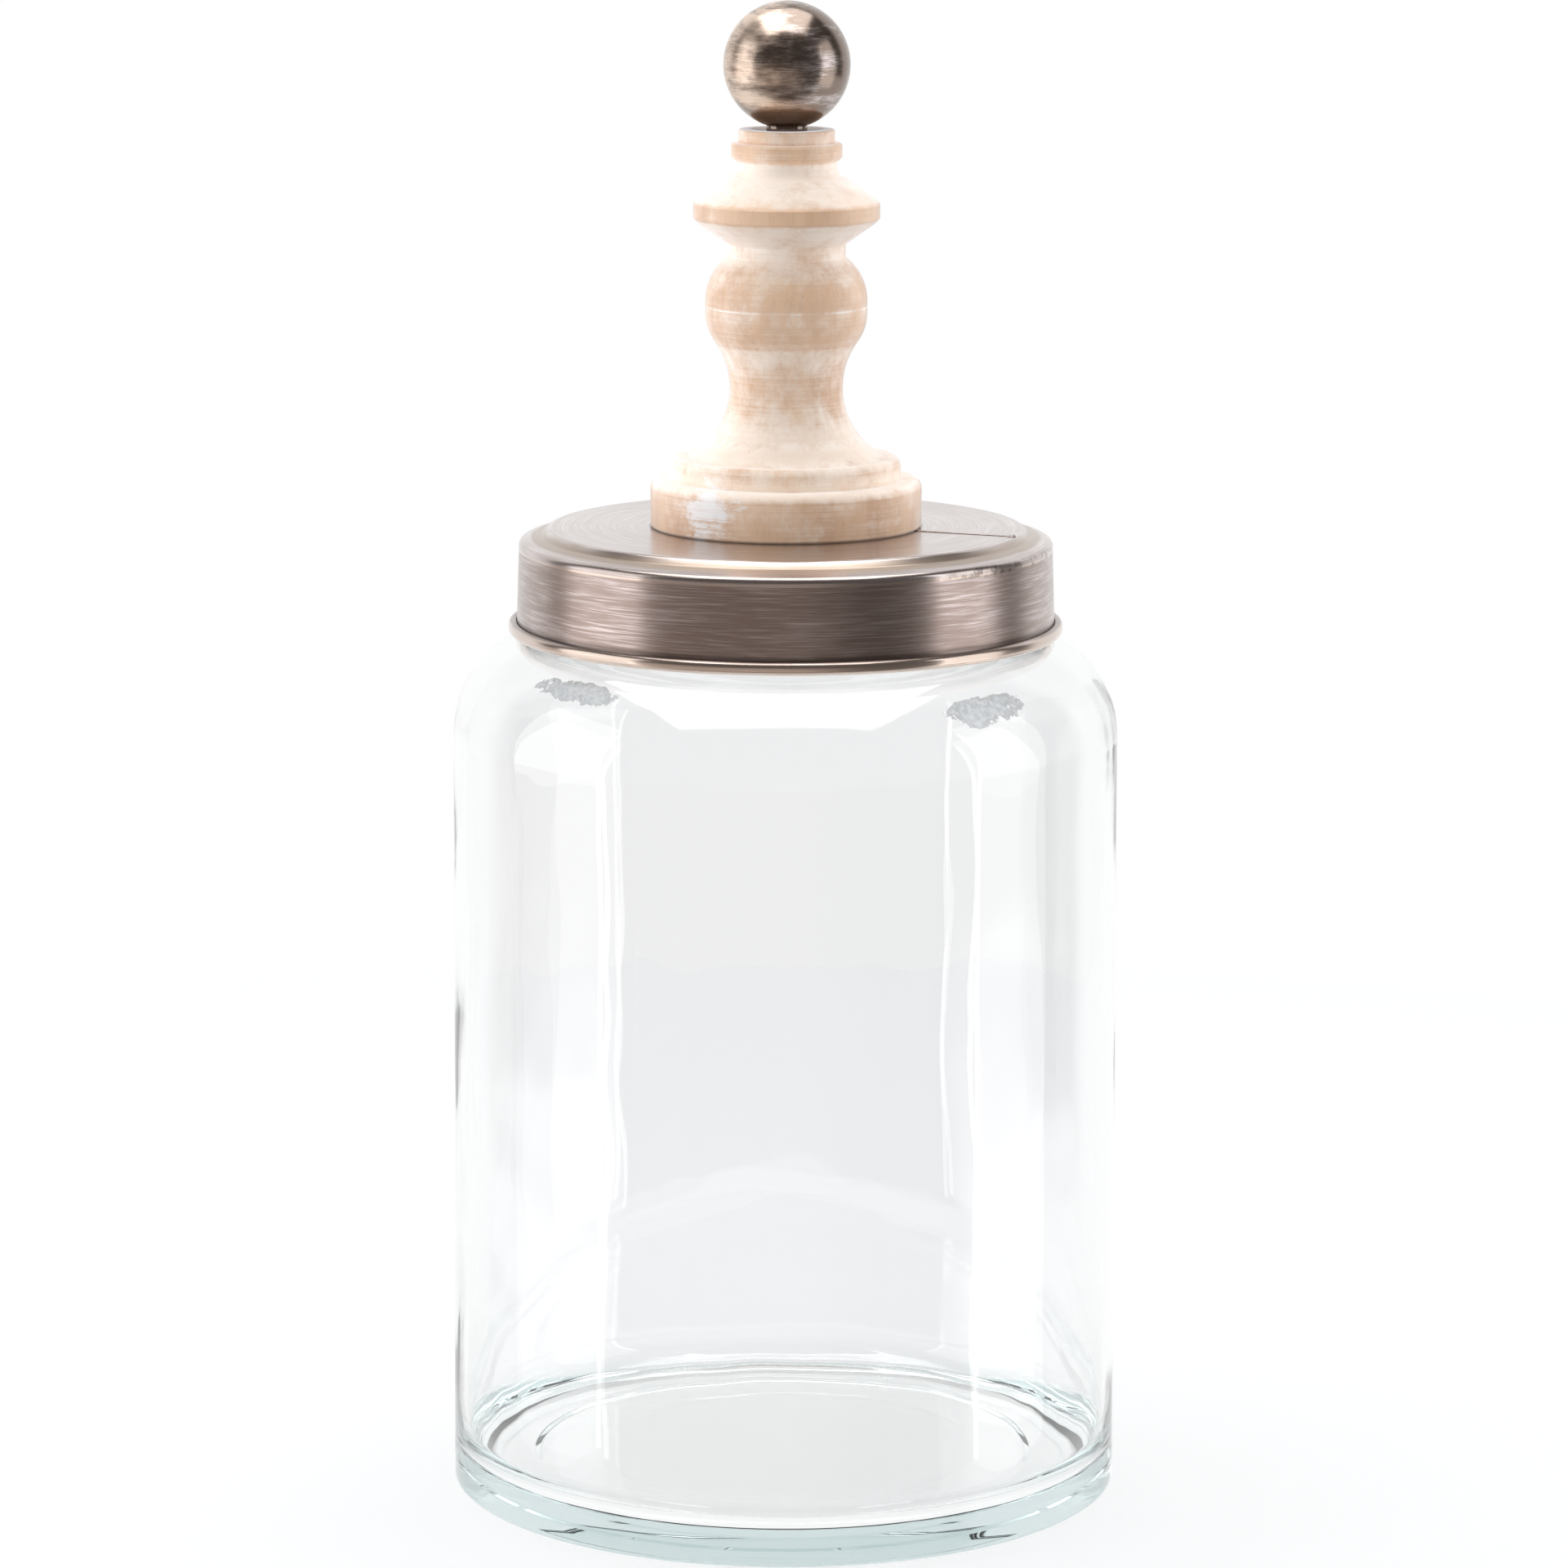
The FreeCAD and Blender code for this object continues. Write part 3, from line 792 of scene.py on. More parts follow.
def unbrushed_and_foot_shadow(sheet, base, rough, radius, hollow):
    within, beyond = hollow
    from_inside = sheet.range(radius, within * MM, (within + 1.5) * MM)
    dull = sheet.times(from_inside, sheet.range(radius, beyond * MM, (beyond - 1.0) * MM))
    base = sheet.mix(sheet.times(dull, 0.75), base, VALLEY)
    rough = sheet.plus(rough, sheet.times(dull, 0.13))
    # A dark ring of painted shadow where the finial stands on the panel.
    foot_shadow = sheet.range(sheet.off(radius, FOOT_SHADOW_RADIUS * MM), 0.7 * MM, 0.2 * MM)
    return sheet.mix(sheet.times(foot_shadow, 0.7), base, FOOT_SHADOW), rough


# %% [markdown]
# ### The sheet's material
#
# Brushing also spreads a highlight across the strokes, which is the shader's Anisotropic value with a
# tangent that runs round the axis. Band and panel are the same finish with other numbers.

# %% Material: antiqued brass sheet
NO_HOLLOW = (90, 99)
DUST = colour(226, 218, 208)


def antique(name, dark, light, wear, roughness, streak, worn=(), crevice=(), hollow=NO_HOLLOW):
    """Dark patina brushed back to lighter metal; wear is how much light metal shows.

    worn and crevice are heights (from, to) in millimetres where hands have polished and where shade is
    painted into a crease; hollow is the ring of radii that the belt doesn't reach, which stays duller."""
    material, sheet, shader = new_material(
        name, Metallic=1.0, Anisotropic=0.55, Anisotropic_Rotation=0.25, Coat_Weight=0.5, Coat_Roughness=0.25
    )
    strokes, blotch = brushed(sheet, streak)
    base = sheet.mix(sheet.range(strokes, 0.62 - wear * 0.35, 0.88 - wear * 0.35), dark, light)
    rough = sheet.range(strokes, 0.3, 0.7, roughness + 0.07, roughness - 0.05, smooth=False)
    x, y, z = sheet.parts(sheet.place())
    base = shade_in_crease(sheet, base, sheet.plus(z, sheet.swing(blotch, 1.5 * MM)), crevice)
    base, rough = hands_on(sheet, base, rough, z, worn)
    base = chips_on(sheet, base, x, z)
    base, rough = unbrushed_and_foot_shadow(sheet, base, rough, sheet.off_axis(x, y), hollow)
    dust = sheet.group(speckle, Dots_per_cm=7.0, Dot_size=0.16, Cover=0.42)["Mask"]
    sheet.set(shader, Base_Color=sheet.mix(dust, base, DUST))
    sheet.set(shader, Roughness=rough)
    sheet.set(shader, Normal=sheet.bump(strokes, 0.004 * MM, 0.5))
    tangent = sheet.node("ShaderNodeTangent", direction_type="RADIAL", axis="Z")
    sheet.set(shader, Tangent=tangent.outputs[0])
    return material


BEAD_TOP = bead_high + BEAD_RADIUS
band_material = antique(
    "brushed antique band", colour(158, 140, 132), colour(222, 209, 209), 0.5, 0.31, 11.0,
    worn=((BAND_LOW - 1, BEAD_TOP - 0.1), (BAND_TOP - 0.9, BAND_TOP + 1)),
    crevice=((BEAD_TOP - 0.5, BEAD_TOP + 1.3),),
)
panel_material = antique(
    "brushed antique panel", colour(182, 169, 163), colour(216, 205, 203), 0.5, 0.23, 16.0,
    hollow=(PANEL_EDGE, NECK_RADIUS),
)

# %% [markdown]
# ## The turned finial
#
# The finial is one spindle of pale close-grained wood. Its profile is the usual set of a turner's shapes: a
# plinth, a half-round, a cove up to the waist, a belly, a sharp flange, a throat and a collar. Each is a
# short list of points or an arc, from the foot upwards, and all heights count from the finial's own foot.

# %% Finial: outline
FINIAL_FOOT, FINIAL_TOP = height_of("finial_body")
LENGTH = FINIAL_TOP - FINIAL_FOOT
PLINTH_RADIUS = width_of("finial_body")
PLINTH_TOP = 11.8
HALF_ROUND_RADIUS = 28.0
WAIST_RADIUS, WAIST_HEIGHT = 13.8, 33.9
BELLY_RADIUS, BELLY_HEIGHT = 19.7, 53.8
LIP_RADIUS, LIP_HEIGHT = 22.7, 77.1
QUIRK_RADIUS, QUIRK_LOW, QUIRK_TOP = 14.4, 65.8, 69.3
THROAT_RADIUS = 12.2
BORE = ROD_RADIUS + 0.3


def upright_arc(waist_r, waist_z, end_r, end_z, hollow_side, pieces=12):
    """An arc that stands upright at (waist_r, waist_z) and ends at (end_r, end_z).

    hollow_side is 1 where the wood curves away outwards, as in a cove, and -1 on a round."""
    across = abs(end_r - waist_r)
    radius = (across**2 + (end_z - waist_z) ** 2) / (2 * across)
    centre = waist_r + hollow_side * radius
    sweep = math.asin(min(1.0, abs(end_z - waist_z) / radius))
    points = []
    for i in range(pieces + 1):
        angle = sweep * i / pieces
        up = math.copysign(radius * math.sin(angle), end_z - waist_z)
        points.append((centre - hollow_side * radius * math.cos(angle), waist_z + up))
    return points


def s_curve(low, high, share, pieces=10):
    """From an upright hollow at low to an upright round at high; share is the part that is hollow."""
    (r0, z0), (r1, z1) = low, high
    both = ((r1 - r0) ** 2 + (z1 - z0) ** 2) / (2 * (r1 - r0))
    hollow_centre, round_centre = Vector((r0 + both * share, z0)), Vector((r1 - both * (1 - share), z1))
    meeting = hollow_centre.lerp(round_centre, share)
    lower = upright_arc(r0, z0, meeting.x, meeting.y, 1, pieces)
    upper = upright_arc(r1, z1, meeting.x, meeting.y, -1, pieces)
    return lower + upper[-2::-1]


half_round_side = PLINTH_TOP + 3.1
crown = half_round_side + 2.2
cove = upright_arc(WAIST_RADIUS, WAIST_HEIGHT, 24.0, crown, 1, 18)
belly_low, belly_high = BELLY_HEIGHT - 1.5, BELLY_HEIGHT + 1.5
scribe = 0.12
finial_profile = (
    [(BORE, 0.0), (PLINTH_RADIUS - 0.5, 0.0), (PLINTH_RADIUS, 0.5)]
    + arc(PLINTH_RADIUS - 2.4, PLINTH_TOP - 2.4, 2.4, 0, 88, 8)
    + [(HALF_ROUND_RADIUS + 0.6, PLINTH_TOP - 0.08), (HALF_ROUND_RADIUS, PLINTH_TOP)]
    + [(HALF_ROUND_RADIUS, half_round_side)]
    + upright_arc(HALF_ROUND_RADIUS, half_round_side, 24.6, crown, -1, 8)[1:]
    + [(24.4, crown - 0.15), (24.15, crown - 0.05)]
    + cove[::-1]
    + s_curve((WAIST_RADIUS, WAIST_HEIGHT), (BELLY_RADIUS, belly_low), 0.62)[1:]
    + [
        (BELLY_RADIUS, BELLY_HEIGHT - scribe),
        (BELLY_RADIUS - scribe, BELLY_HEIGHT),
        (BELLY_RADIUS, BELLY_HEIGHT + scribe),
    ]
    + upright_arc(BELLY_RADIUS, belly_high, QUIRK_RADIUS, QUIRK_LOW, -1, 14)
    + [(QUIRK_RADIUS, QUIRK_TOP - 0.4), (QUIRK_RADIUS + 0.35, QUIRK_TOP)]
    + [(LIP_RADIUS - 1.3, LIP_HEIGHT - 3.1), (LIP_RADIUS - 0.7, LIP_HEIGHT - 2.5)]
    + [(LIP_RADIUS, LIP_HEIGHT - 1.7), (LIP_RADIUS, LIP_HEIGHT + 1.6)]
    + [(LIP_RADIUS - 0.4, LIP_HEIGHT + 2.1), (LIP_RADIUS - 1.2, LIP_HEIGHT + 2.7)]
    + arc(THROAT_RADIUS + 2.6, 87.6, 2.6, 262, 180, 8)
    + [(THROAT_RADIUS, 88.9), (12.8, 89.4), (13.5, 90.1), (13.5, 92.9), (13.1, 93.4), (11.7, 93.6)]
    + [(11.7, LENGTH - 0.25), (11.4, LENGTH), (8.6, LENGTH), (6.4, LENGTH - 0.9), (BORE, LENGTH - 0.9)]
)
finial = turn("turned_finial", [(r, FINIAL_FOOT + z) for r, z in with_steps(finial_profile, 3.0)], sharp=28)

# %% [markdown]
# The chisel never leaves a perfect surface: hand pressure makes it a touch uneven, and edges are knocked. A
# very small displacement does both, and the material does the finer marks.

# %% Finial: hand-turned unevenness
def outside_of_spindle(place):
    return 1.0 if math.hypot(place.x, place.y) > 10 and place.z > FINIAL_FOOT + 1 else 0.0


give_weights(finial, "all", outside_of_spindle)
uneven(finial, "all", clouds("hand turned", 9), 0.16)
finial.vertex_groups.clear()

# %% [markdown]
# ## Limed wood
#
# Limewash is brushed on and wiped off. It stays in the pores and in the hollows that the cloth doesn't
# reach, and it wears off first where the piece is touched: the flange's edge, the collar and the plinth's
# side. So the wash follows the height on the piece, as a table of heights and amounts in a colour ramp.

# %% Limed wood: patterns
wood_material, sheet, shader = new_material(
    "limed wood", Roughness=0.62, Specular_IOR_Level=0.4, Sheen_Weight=0.8, Sheen_Roughness=0.4
)
place = sheet.place()
grain = sheet.noise(sheet.stretched(place, (900, 900, 130)), 1.0, 5.0, 0.65)
figure = sheet.noise(sheet.stretched(place, (70, 70, 9)), 1.0, 3.0, 0.6)
chisel = sheet.group(turned_lines, Lines_per_mm=2.2, Line_length=60.0, Detail=4.0)["Value"]
blotch = sheet.noise(place, 130.0, 5.0, 0.65)
z = sheet.parts(place)[2]
height = sheet.range(z, FINIAL_FOOT * MM, FINIAL_TOP * MM, smooth=False)

# %% [markdown]
# The table gives heights from the finial's foot in millimetres, each with the amount of wash there: little
# on edges, much in hollows, and a sharp change wherever the profile has a corner.

# %% Limed wood: wash by height
WASH = (
    (0.0, 0.30), (9.5, 0.36), (11.6, 0.90), (15.0, 0.58), (18.0, 0.86), (26.0, 0.66), (34.0, 0.46),
    (40.0, 0.60), (44.0, 0.70), (45.0, 0.46), (53.5, 0.44), (54.6, 0.26), (59.0, 0.32), (61.5, 0.52),
    (65.0, 0.68), (70.0, 0.78), (74.5, 0.80), (75.4, 0.16), (78.8, 0.20), (79.6, 0.66), (83.0, 0.84),
    (88.5, 0.92), (89.6, 0.36), (93.2, 0.28), (94.0, 0.50), (96.8, 0.38),
)
wash_by_height = sheet.node("ShaderNodeValToRGB")
sheet.feed(wash_by_height.inputs[0], height)
ramp = wash_by_height.color_ramp
while len(ramp.elements) > 1:
    ramp.elements.remove(ramp.elements[-1])
for i, (at, amount) in enumerate(WASH):
    stop = ramp.elements[0] if i == 0 else ramp.elements.new(at / LENGTH)
    stop.position = at / LENGTH
    stop.color = (amount, amount, amount, 1)
print(len(WASH), "stops of wash up the spindle")

# %% [markdown]
# The wash is broken up by blotches, by the turning marks, which run round the spindle, and by the grain,
# which runs up it.

# %% Limed wood: colour
wash = sheet.plus(wash_by_height.outputs[0], sheet.swing(blotch, 1.4))
wash = sheet.plus(wash, sheet.swing(chisel, 0.7))
wash = sheet.plus(wash, sheet.swing(grain, 0.5), clamp=True)

raw = sheet.mix(sheet.range(figure, 0.35, 0.7), colour(226, 189, 154), colour(204, 163, 128))
raw = sheet.mix(sheet.range(grain, 0.45, 0.75, 0.0, 0.3), raw, colour(176, 140, 114))
limed = sheet.mix(sheet.range(chisel, 0.3, 0.75), colour(250, 238, 223), colour(240, 220, 200))
base = sheet.mix(sheet.range(wash, 0.2, 0.95, 0.0, 0.92), raw, limed)

# %% [markdown]
# Under the flange, where the cloth couldn't get in, more pores are left open and dark. A thicker smear of
# white paint is left on the plinth, and lime fills the line that is scribed round the belly.

# %% Limed wood: pores, smear and scribed line
FLANGE_FOOT = 62
under_flange = sheet.times(
    sheet.range(height, FLANGE_FOOT / LENGTH, (FLANGE_FOOT + 4) / LENGTH),
    sheet.range(height, (FLANGE_FOOT + 11) / LENGTH, (FLANGE_FOOT + 8) / LENGTH),
)
cover = sheet.plus(0.45, sheet.times(under_flange, 0.13))
pores = sheet.group(speckle, Dots_per_cm=11.0, Dot_size=0.3, Cover=cover, Stretch=1.6)["Mask"]
base = sheet.mix(sheet.times(pores, 0.55), base, colour(120, 92, 74))

PATCH = Vector((-19.5, -26.8, FINIAL_FOOT + 7.5)) * MM
apart = sheet.node("ShaderNodeVectorMath", operation="DISTANCE")
sheet.feed(apart.inputs[0], place)
apart.inputs[1].default_value = PATCH
smear = sheet.noise(sheet.stretched(place, (170, 170, 330)), 1.0, 6.0, 0.7)
ragged = sheet.plus(apart.outputs["Value"], sheet.swing(smear, 34 * MM))
paint = sheet.range(ragged, 9.5 * MM, 2.5 * MM, 0.0, 0.9)
paint = sheet.times(paint, sheet.range(chisel, 0.3, 0.55, 0.45, 1.0))
base = sheet.mix(paint, base, colour(240, 236, 232))

scribed = sheet.range(sheet.off(z, (FINIAL_FOOT + BELLY_HEIGHT) * MM), 0.26 * MM, 0.08 * MM)
filled = sheet.times(scribed, sheet.range(blotch, 0.4, 0.6, 0.2, 0.8))
base = sheet.mix(filled, base, colour(252, 244, 236))
sheet.set(shader, Base_Color=base)

# %% [markdown]
# Turning marks, grain and open pores also stand in the surface, and the wash is duller than bare wood.

# %% Limed wood: relief
relief = sheet.plus(sheet.times(chisel, 0.7), sheet.times(grain, 0.5))
relief = sheet.minus(relief, sheet.times(pores, 0.8))
sheet.set(shader, Normal=sheet.bump(relief, 0.09 * MM, 0.6))
sheet.set(shader, Roughness=sheet.range(wash, 0.0, 1.0, 0.5, 0.72, smooth=False))

# %% [markdown]
# ## The ball
#
# The ball is solid metal, faced off below so that it seats on its collar. A sphere is cut by a bisecting
# plane at that height, the cut is filled, and an inset and an extrusion sink the bore for the rod.

# %% Ball and collar
BALL_LOW, BALL_TOP = height_of("ball")
SPHERE_RADIUS = 15.4
COLLAR_LOW, COLLAR_TOP = height_of("ball_collar")
COLLAR_RADIUS = width_of("ball_collar")
ball_centre = BALL_TOP - SPHERE_RADIUS

ball = new_primitive(
    "finial_ball",
    bpy.ops.mesh.primitive_uv_sphere_add,
    segments=192,
    ring_count=96,
    radius=SPHERE_RADIUS * MM,
    location=(0, 0, ball_centre * MM),
)
edit(ball)
bpy.ops.mesh.select_all(action="SELECT")
bpy.ops.mesh.bisect(plane_co=(0, 0, BALL_LOW * MM), plane_no=(0, 0, 1), clear_inner=True, use_fill=True)
bpy.ops.mesh.inset(thickness=2.2 * MM)
bpy.ops.mesh.extrude_region_move(TRANSFORM_OT_translate={"value": (0, 0, 12 * MM)})
close_shell()
finish_mesh(ball, 40)

collar = turn(
    "dark_collar",
    rounded(
        [
            (HOLE, COLLAR_LOW),
            (COLLAR_RADIUS, COLLAR_LOW, 0.3),
            (COLLAR_RADIUS, COLLAR_TOP, 0.3),
            (HOLE, COLLAR_TOP),
        ],
        pieces=3,
    ),
    steps=COARSE,
)

# %% [markdown]
# The ball is darkened more than the sheet and polished harder, so it mirrors the room, but cloth marks run
# round it in bands where the dark has been rubbed through to warm metal. All heights count from the ball's
# centre.

# %% Burnished ball: cloth marks
ball_material, sheet, shader = new_material("burnished dark brass", Metallic=1.0)
place = sheet.place()
from_centre = sheet.node("ShaderNodeVectorMath", operation="SUBTRACT")
sheet.feed(from_centre.inputs[0], place)
from_centre.inputs[1].default_value = (0, 0, ball_centre * MM)
x, _, z = sheet.parts(from_centre.outputs[0])
rub = sheet.noise(sheet.stretched(place, (110, 110, 460)), 1.0, 6.0, 0.65)
fine = sheet.group(turned_lines, Lines_per_mm=4.0, Line_length=3.5, Detail=3.0)["Value"]
patches = sheet.noise(place, 90.0, 4.0, 0.6)
marks = sheet.plus(sheet.times(rub, 0.45), sheet.times(fine, 0.2))
marks = sheet.plus(marks, sheet.times(patches, 0.35))

# %% [markdown]
# It is made lighter on the left, partly by real rubbing and partly as a painted highlight, on the crown as a
# painted highlight and in one band below as a painted reflection, and darker in the lower half and near the
# collar as painted shade.

# %% Burnished ball: where it is rubbed, and its painted light
# Painted highlights on the left and the crown, and a painted reflection band below.
left_rub_and_highlight = sheet.range(x, 8 * MM, -12 * MM, -0.03, 0.07)
band = sheet.range(sheet.off(z, -8 * MM), 3 * MM, 0.5 * MM, 0.0, 0.05)
# Painted shade: darker near the collar and in the lower half.
collar_shade = sheet.range(z, -9.5 * MM, -12 * MM, 0.0, 0.16)
lower_shade = sheet.range(z, 1 * MM, -4 * MM, 0.0, 0.03)
crown_highlight = sheet.times(sheet.range(z, 3 * MM, 9 * MM), sheet.range(x, 4 * MM, -6 * MM))
rubbed_and_painted_light = sheet.plus(marks, sheet.plus(left_rub_and_highlight, band))
rubbed_and_painted_light = sheet.minus(sheet.minus(rubbed_and_painted_light, collar_shade), lower_shade)
rubbed_and_painted_light = sheet.plus(rubbed_and_painted_light, sheet.times(crown_highlight, 0.07))

# %% [markdown]
# Where it is rubbed or painted lighter, the metal is warmer on the left and cooler on the right, a little
# rougher and a little lower.

# %% Burnished ball: colour and relief
gold = sheet.mix(sheet.range(x, -4 * MM, 8 * MM), colour(232, 210, 192), colour(234, 226, 226))
base = sheet.mix(sheet.range(rubbed_and_painted_light, 0.45, 0.66), colour(138, 123, 113), gold)
sheet.set(shader, Base_Color=base)
sheet.set(shader, Roughness=sheet.range(rubbed_and_painted_light, 0.40, 0.65, 0.18, 0.33, smooth=False))
sheet.set(shader, Normal=sheet.bump(rubbed_and_painted_light, 0.02 * MM, 0.5))

# %% [markdown]
# ## Rod, nut and washers
#
# These are zinc-plated steel and stay hidden inside the lid until it is lifted. Their modelled shapes are
# right as they are, so they only get a finish: a dull plated grey with faint mottling.

# %% Material: zinc plated steel
steel_material, sheet, shader = new_material("zinc plated steel", Metallic=1.0)
mottle = sheet.noise(sheet.place(), 900.0, 4.0)
sheet.set(shader, Base_Color=sheet.mix(mottle, colour(168, 168, 164), colour(198, 198, 192)))
sheet.set(shader, Roughness=sheet.range(mottle, 0.3, 0.7, 0.28, 0.42, smooth=False))
sheet.set(shader, Normal=sheet.bump(mottle, 0.02 * MM, 0.4))

# %% [markdown]
# ## Putting it together
#
# Each made piece gets its one material, rides on the body that carries it, and takes the place of the
# coarse shape of the same piece. The rod, nut and washers keep their modelled shapes.

# %% Dress every piece and let it ride on its body
PIECES = (
    (glass, glass_material, "jar", "glass", "glass_jar"),
    (seal, seal_material, "seal", "seal", "lid_seal"),
    (lid_panel, panel_material, "lid", "lid_sheet", "lid_top"),
    (seam, panel_material, "lid", "lid_sheet", None),
    (solder, panel_material, "lid", "lid_sheet", None),
    (lid_band, band_material, "lid", "lid_sheet", "lid_band"),
    (finial, wood_material, "lid", "wood", "finial_body"),
    (ball, ball_material, "lid", "dark_metal", "ball"),
    (collar, ball_material, "lid", "dark_metal", "ball_collar"),
)
for piece, material, body, slot, node in PIECES:
    piece.data.materials.clear()
    piece.data.materials.append(material)
    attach(piece, body)
    if node:
        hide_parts(node)
for node in ("tie_rod", "clamp_washer", "lock_washer", "hex_nut"):
    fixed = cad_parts[node]
    for slot in fixed.material_slots:
        slot.material = steel_material
print(len(PIECES), "made pieces,", len(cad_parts), "CAD nodes")

# %% [markdown]
# ## Floor
#
# The floor is a plain pale disc that keeps the shadow. It lies a hair below the foot, so that the two flat
# faces never coincide. Seen directly or through glass it glows just enough to meet the white background
# without an edge, and in a mirror it isn't there at all.

# %% Floor
FLOOR_RADIUS, FLOOR_DROP = 0.6, 0.15
SEEN_GLOW, THROUGH_GLASS_GLOW = 0.675, 0.607
floor = new_primitive(
    "floor", bpy.ops.mesh.primitive_circle_add, vertices=96, radius=FLOOR_RADIUS, fill_type="NGON"
)
edit(floor)
bpy.ops.transform.translate(value=(0, 0, -FLOOR_DROP * MM))
finish_mesh(floor)
floor_material, sheet, shader = new_material("pale floor", Base_Color=grey(0.26), Roughness=0.9)
ray = sheet.node("ShaderNodeLightPath")
seen = sheet.times(ray.outputs["Is Camera Ray"], SEEN_GLOW)
seen_through = sheet.times(ray.outputs["Is Transmission Ray"], THROUGH_GLASS_GLOW)
glow = sheet.node("ShaderNodeEmission")
sheet.feed(glow.inputs["Strength"], sheet.plus(seen, seen_through))
both = sheet.node("ShaderNodeAddShader")
sheet.feed(both.inputs[0], shader.outputs[0])
sheet.feed(both.inputs[1], glow.outputs[0])
mirrored = sheet.math("GREATER_THAN", ray.outputs["Glossy Depth"], 0.5)
sheet.mix_shaders(mirrored, both, sheet.node("ShaderNodeBsdfTransparent"), floor_material)
floor.data.materials.append(floor_material)

# %% [markdown]
# ## The room
#
# The room is a white sweep behind the object and over the table, and a dim studio in front. Each kind of
# ray meets its own part of it: the camera plain white, a mirrored ray the room itself, a ray straight
# through the glass a soft pale backdrop, and a diffuse ray a smooth fill.

# %% Room: directions and kinds of ray
world = bpy.data.worlds.new("studio")
scene.world = world
world.use_nodes = True
sheet = Sheet(world.node_tree)
background = world.node_tree.nodes["Background"]
aside, ahead, up = sheet.parts(sheet.node("ShaderNodeTexCoord").outputs["Generated"])
beside = sheet.math("ABSOLUTE", aside)
ray = sheet.node("ShaderNodeLightPath")
in_glass = sheet.math("GREATER_THAN", ray.outputs["Transmission Depth"], 0.5)
mirrored = sheet.math("GREATER_THAN", ray.outputs["Glossy Depth"], 0.5)
mirrored_often = sheet.math("GREATER_THAN", ray.outputs["Glossy Depth"], 1.5)

# %% [markdown]
# ### The room in mirrors
#
# The sweep behind and the table in front are white, with dark between them, which is what gives metal its
# dark and light bands. Inside glass a mirrored ray would meet far more dark than a real wall shows, so
# there the front is lighter.

# %% Room: mirrored
backdrop = sheet.times(sheet.range(ahead, 0.42, 0.62), sheet.range(up, 0.78, 0.6))
table = sheet.times(sheet.range(ahead, -0.45, -0.3), sheet.range(up, -0.21, -0.26))
table = sheet.math("MAXIMUM", table, sheet.times(in_glass, sheet.range(up, -0.36, -0.46)))
high = sheet.times(in_glass, sheet.range(up, 0.2, 0.45, 0.0, 0.8))
white = sheet.minus(sheet.math("MAXIMUM", backdrop, table), high, clamp=True)
near_table = sheet.mix(sheet.range(aside, 0.62, 0.0), (0.17, 0.155, 0.145, 1), (0.62, 0.55, 0.51, 1))
near_table = sheet.mix(sheet.range(up, -0.45, -0.7), near_table, (0.22, 0.2, 0.19, 1))
front = sheet.mix(sheet.range(up, -0.04, -0.14), (0.13, 0.12, 0.118, 1), near_table)
front_in_glass = sheet.mix(sheet.range(up, 0.12, 0.0), (0.75, 0.76, 0.77, 1), (0.17, 0.17, 0.175, 1))
front_in_glass = sheet.mix(mirrored_often, front_in_glass, (0.8, 0.85, 0.85, 1))
front = sheet.mix(in_glass, front, front_in_glass)
room = sheet.mix(white, front, grey(1.0))

# %% [markdown]
# ### The fill
#
# What is dull is lit more from the sides, from behind and from above than from the front, with slightly
# cool light from the sides.

# %% Room: fill
from_behind = sheet.range(ahead, -0.1, 0.5, 0.0, 0.5)
from_above = sheet.range(up, 0.0, 0.8, 0.0, 0.2)
level = sheet.range(up, 0.55, 0.15, 0.2, 1.0)
from_left = sheet.times(level, sheet.range(aside, -0.2, -0.9, 0.0, 2.2))
from_right = sheet.times(level, sheet.range(aside, 0.2, 0.9, 0.0, 1.5))
fill = sheet.plus(sheet.plus(0.15, from_behind), from_above)
fill = sheet.plus(fill, sheet.plus(from_left, from_right))
fill = sheet.mix(sheet.range(beside, 0.2, 0.8), fill, (0.94, 1.0, 1.12, 1), blend="MULTIPLY")

# %% [markdown]
# ### Through the glass
#
# A ray that goes straight on through the walls meets near white in the middle. The more the thick parts
# bend it up, down or aside, the greyer it gets, so that shoulder, base and side walls are drawn by soft
# grey.

# %% Room: through the glass
STRAIGHT_ON = -0.2
straight = sheet.minus(ray.outputs["Is Transmission Ray"], mirrored, clamp=True)
steep = sheet.range(sheet.off(up, STRAIGHT_ON), 0.22, 0.55)
bent = sheet.mix(steep, grey(0.965, 0.97), grey(0.76, 0.79))
bent = sheet.mix(sheet.range(beside, 0.15, 0.5), bent, grey(0.84, 0.87), blend="MULTIPLY")

ambient = sheet.mix(ray.outputs["Is Diffuse Ray"], room, fill)
ambient = sheet.mix(straight, ambient, bent)
sheet.feed(background.inputs["Color"], sheet.mix(ray.outputs["Is Camera Ray"], ambient, grey(1.0)))
background.inputs["Strength"].default_value = 1.0

# %% [markdown]
# ## Lamps
#
# A tall soft box on each side draws the upright bright bands in metal and glass. Its lower part, which
# hangs below the table's edge, is dimmer. A thin bright strip nearer the front edges each band with white.

# %% Soft boxes
def soft_box(name, place, aim, width, tall, radiance):
    lamp = bpy.data.lights.new(name, "AREA")
    lamp.shape = "RECTANGLE"
    lamp.size = width
    lamp.size_y = tall
    lamp.energy = radiance * math.pi * width * tall
    box = bpy.data.objects.new(name, lamp)
    scene.collection.objects.link(box)
    box.location = place
    box.rotation_euler = (Vector(aim) - Vector(place)).to_track_quat("-Z", "Y").to_euler()
    box.visible_camera = False
    print(f"{name}: {lamp.energy:.1f} W")
    return box


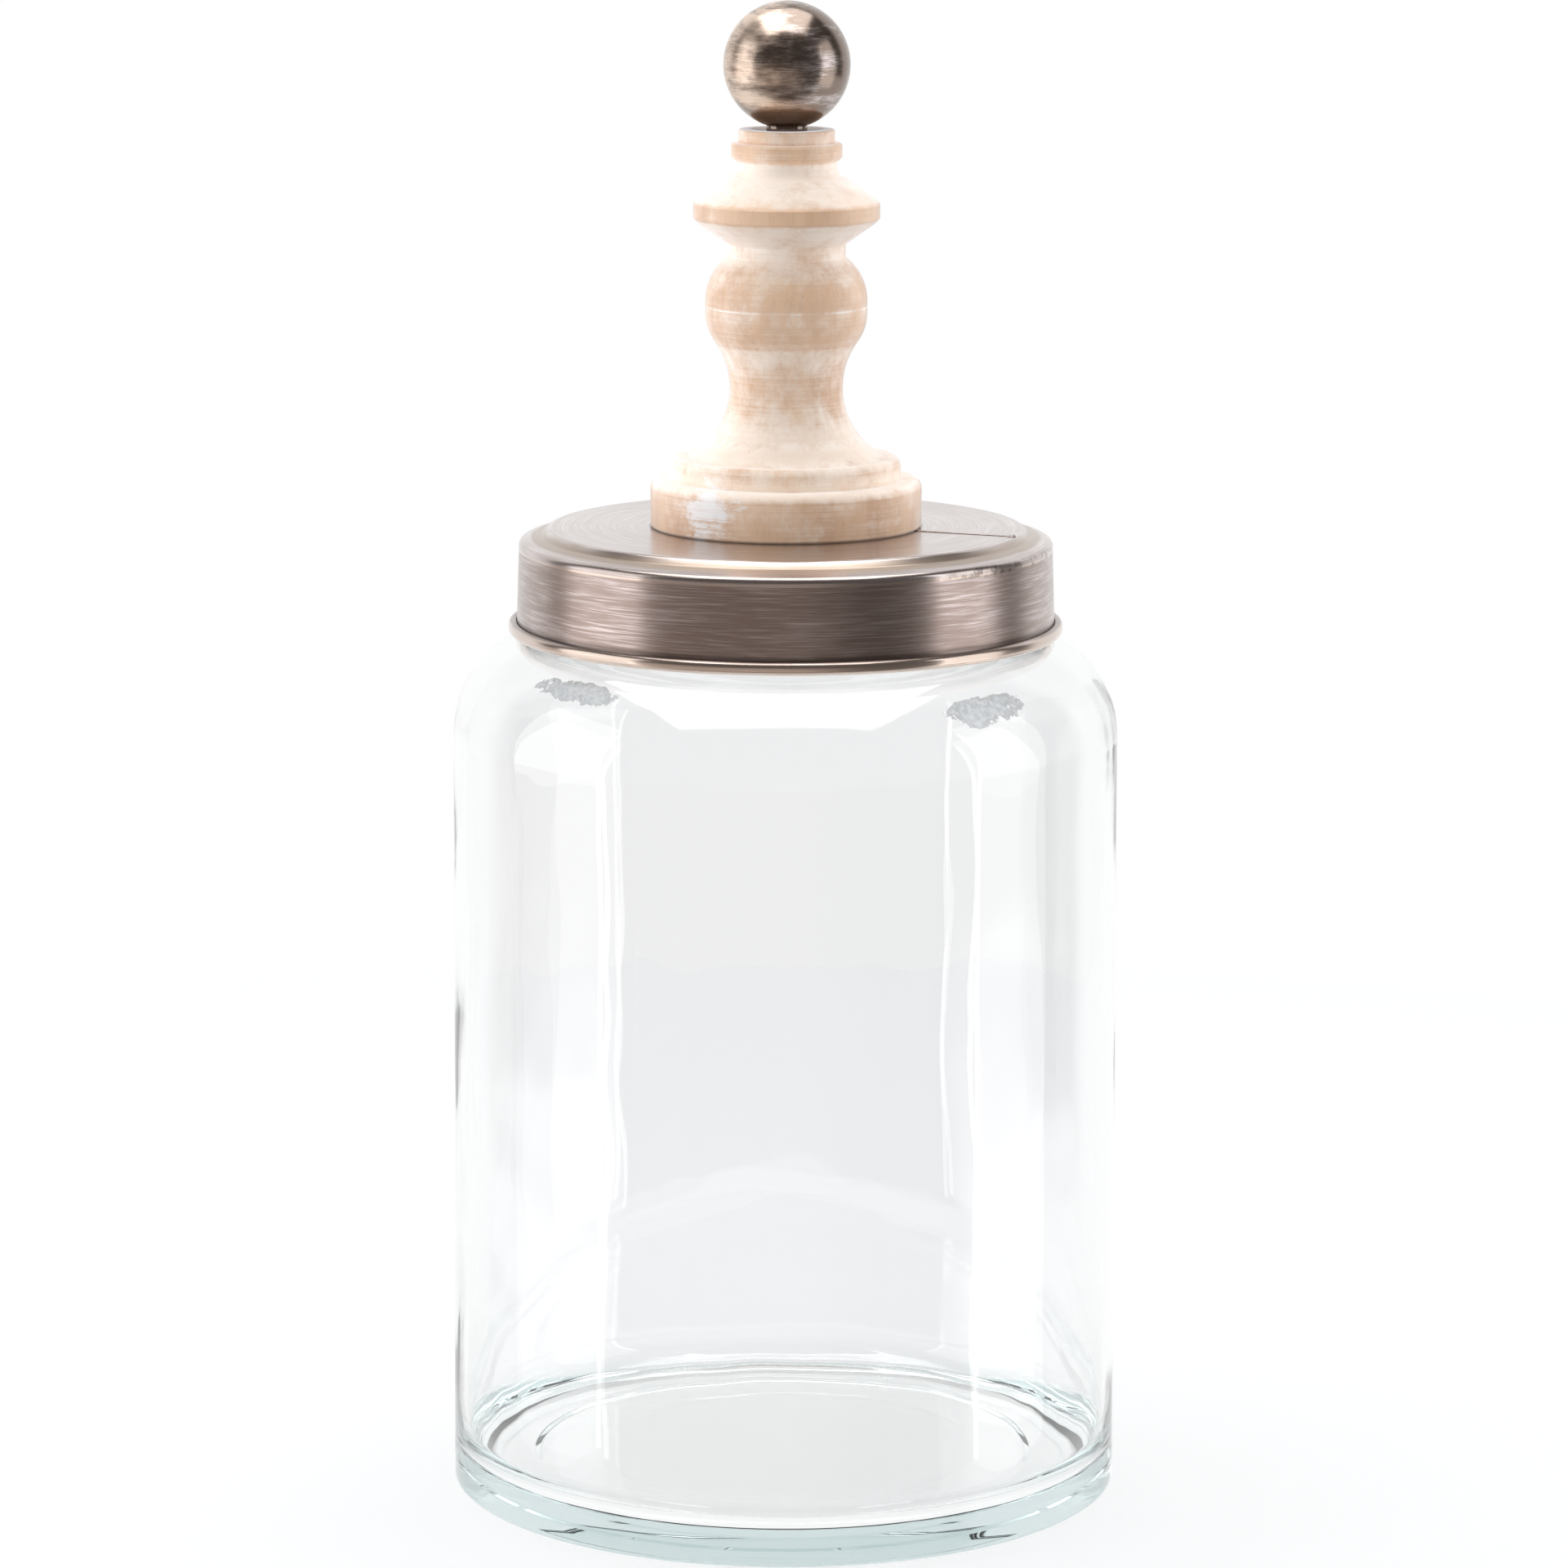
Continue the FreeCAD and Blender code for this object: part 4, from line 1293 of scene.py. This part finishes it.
BOX_SPLIT, BOX_TOP, BOX_LOW = 0.03, 1.15, -0.35
for side, across, forward, width, bright, dim in (
    ("left", -1.25, -0.12, 0.86, 1.45, 0.46),
    ("right", 1.25, -0.16, 0.70, 1.35, 0.90),
):
    halves = (("upper", BOX_SPLIT, BOX_TOP, bright), ("lower", BOX_LOW, BOX_SPLIT, dim))
    for part, low, high, radiance in halves:
        middle = (low + high) / 2
        soft_box(f"{side} {part} box", (across, forward, middle), (0, 0, middle), width, high - low, radiance)

STRIP_WIDTH, STRIP_HEIGHT, STRIP_MIDDLE = 0.045, 1.36, 0.33
for side, across, forward, bright in (("left", -1.2, -0.57, 2.6), ("right", 1.22, -0.5, 2.4)):
    place, aim = (across, forward, STRIP_MIDDLE), (0, 0, STRIP_MIDDLE)
    soft_box(f"{side} edge strip", place, aim, STRIP_WIDTH, STRIP_HEIGHT, bright)

# %% [markdown]
# ### Overhead
#
# A square box overhead lights the wood from above. Mirrors don't see it: they see a brighter one just below
# it, which draws the white patch on the ball and the glints on the lid and shoulder, and lights nothing
# else.

# %% Overhead
OVER_X, OVER_Y = -0.05, 0.12
straight_down = (OVER_X, OVER_Y, 0.0)
top_box = soft_box("top box", (OVER_X, OVER_Y, 1.36), straight_down, 1.2, 1.25, 1.8)
top_box.visible_glossy = False
highlight = soft_box("top highlight", (OVER_X, OVER_Y, 1.33), straight_down, 1.15, 1.15, 3.1)
highlight.visible_diffuse = False

# %% [markdown]
# ## Camera
#
# A long lens from a little above, so that the jar's sides stay nearly parallel and the lid's top just
# opens.

# %% Camera
CAMERA_DISTANCE, CAMERA_HEIGHT = 1.468, 0.4499
CAMERA_TILT, CAMERA_ROLL = 10.6, 0.14
view = bpy.data.cameras.new("camera")
view.sensor_width = 36.0
view.lens = 138.8
view.dof.use_dof = False
camera = bpy.data.objects.new("camera", view)
scene.collection.objects.link(camera)
camera.location = (-0.0003, -CAMERA_DISTANCE, CAMERA_HEIGHT)
tilt = Matrix.Rotation(math.radians(90 - CAMERA_TILT), 4, "X")
roll = Matrix.Rotation(math.radians(CAMERA_ROLL), 4, "Z")
camera.rotation_euler = (tilt @ roll).to_euler()
scene.camera = camera
scene.view_settings.view_transform = "Standard"
scene.cycles.max_bounces = 24
scene.cycles.glossy_bounces = 16
scene.cycles.transmission_bounces = 24
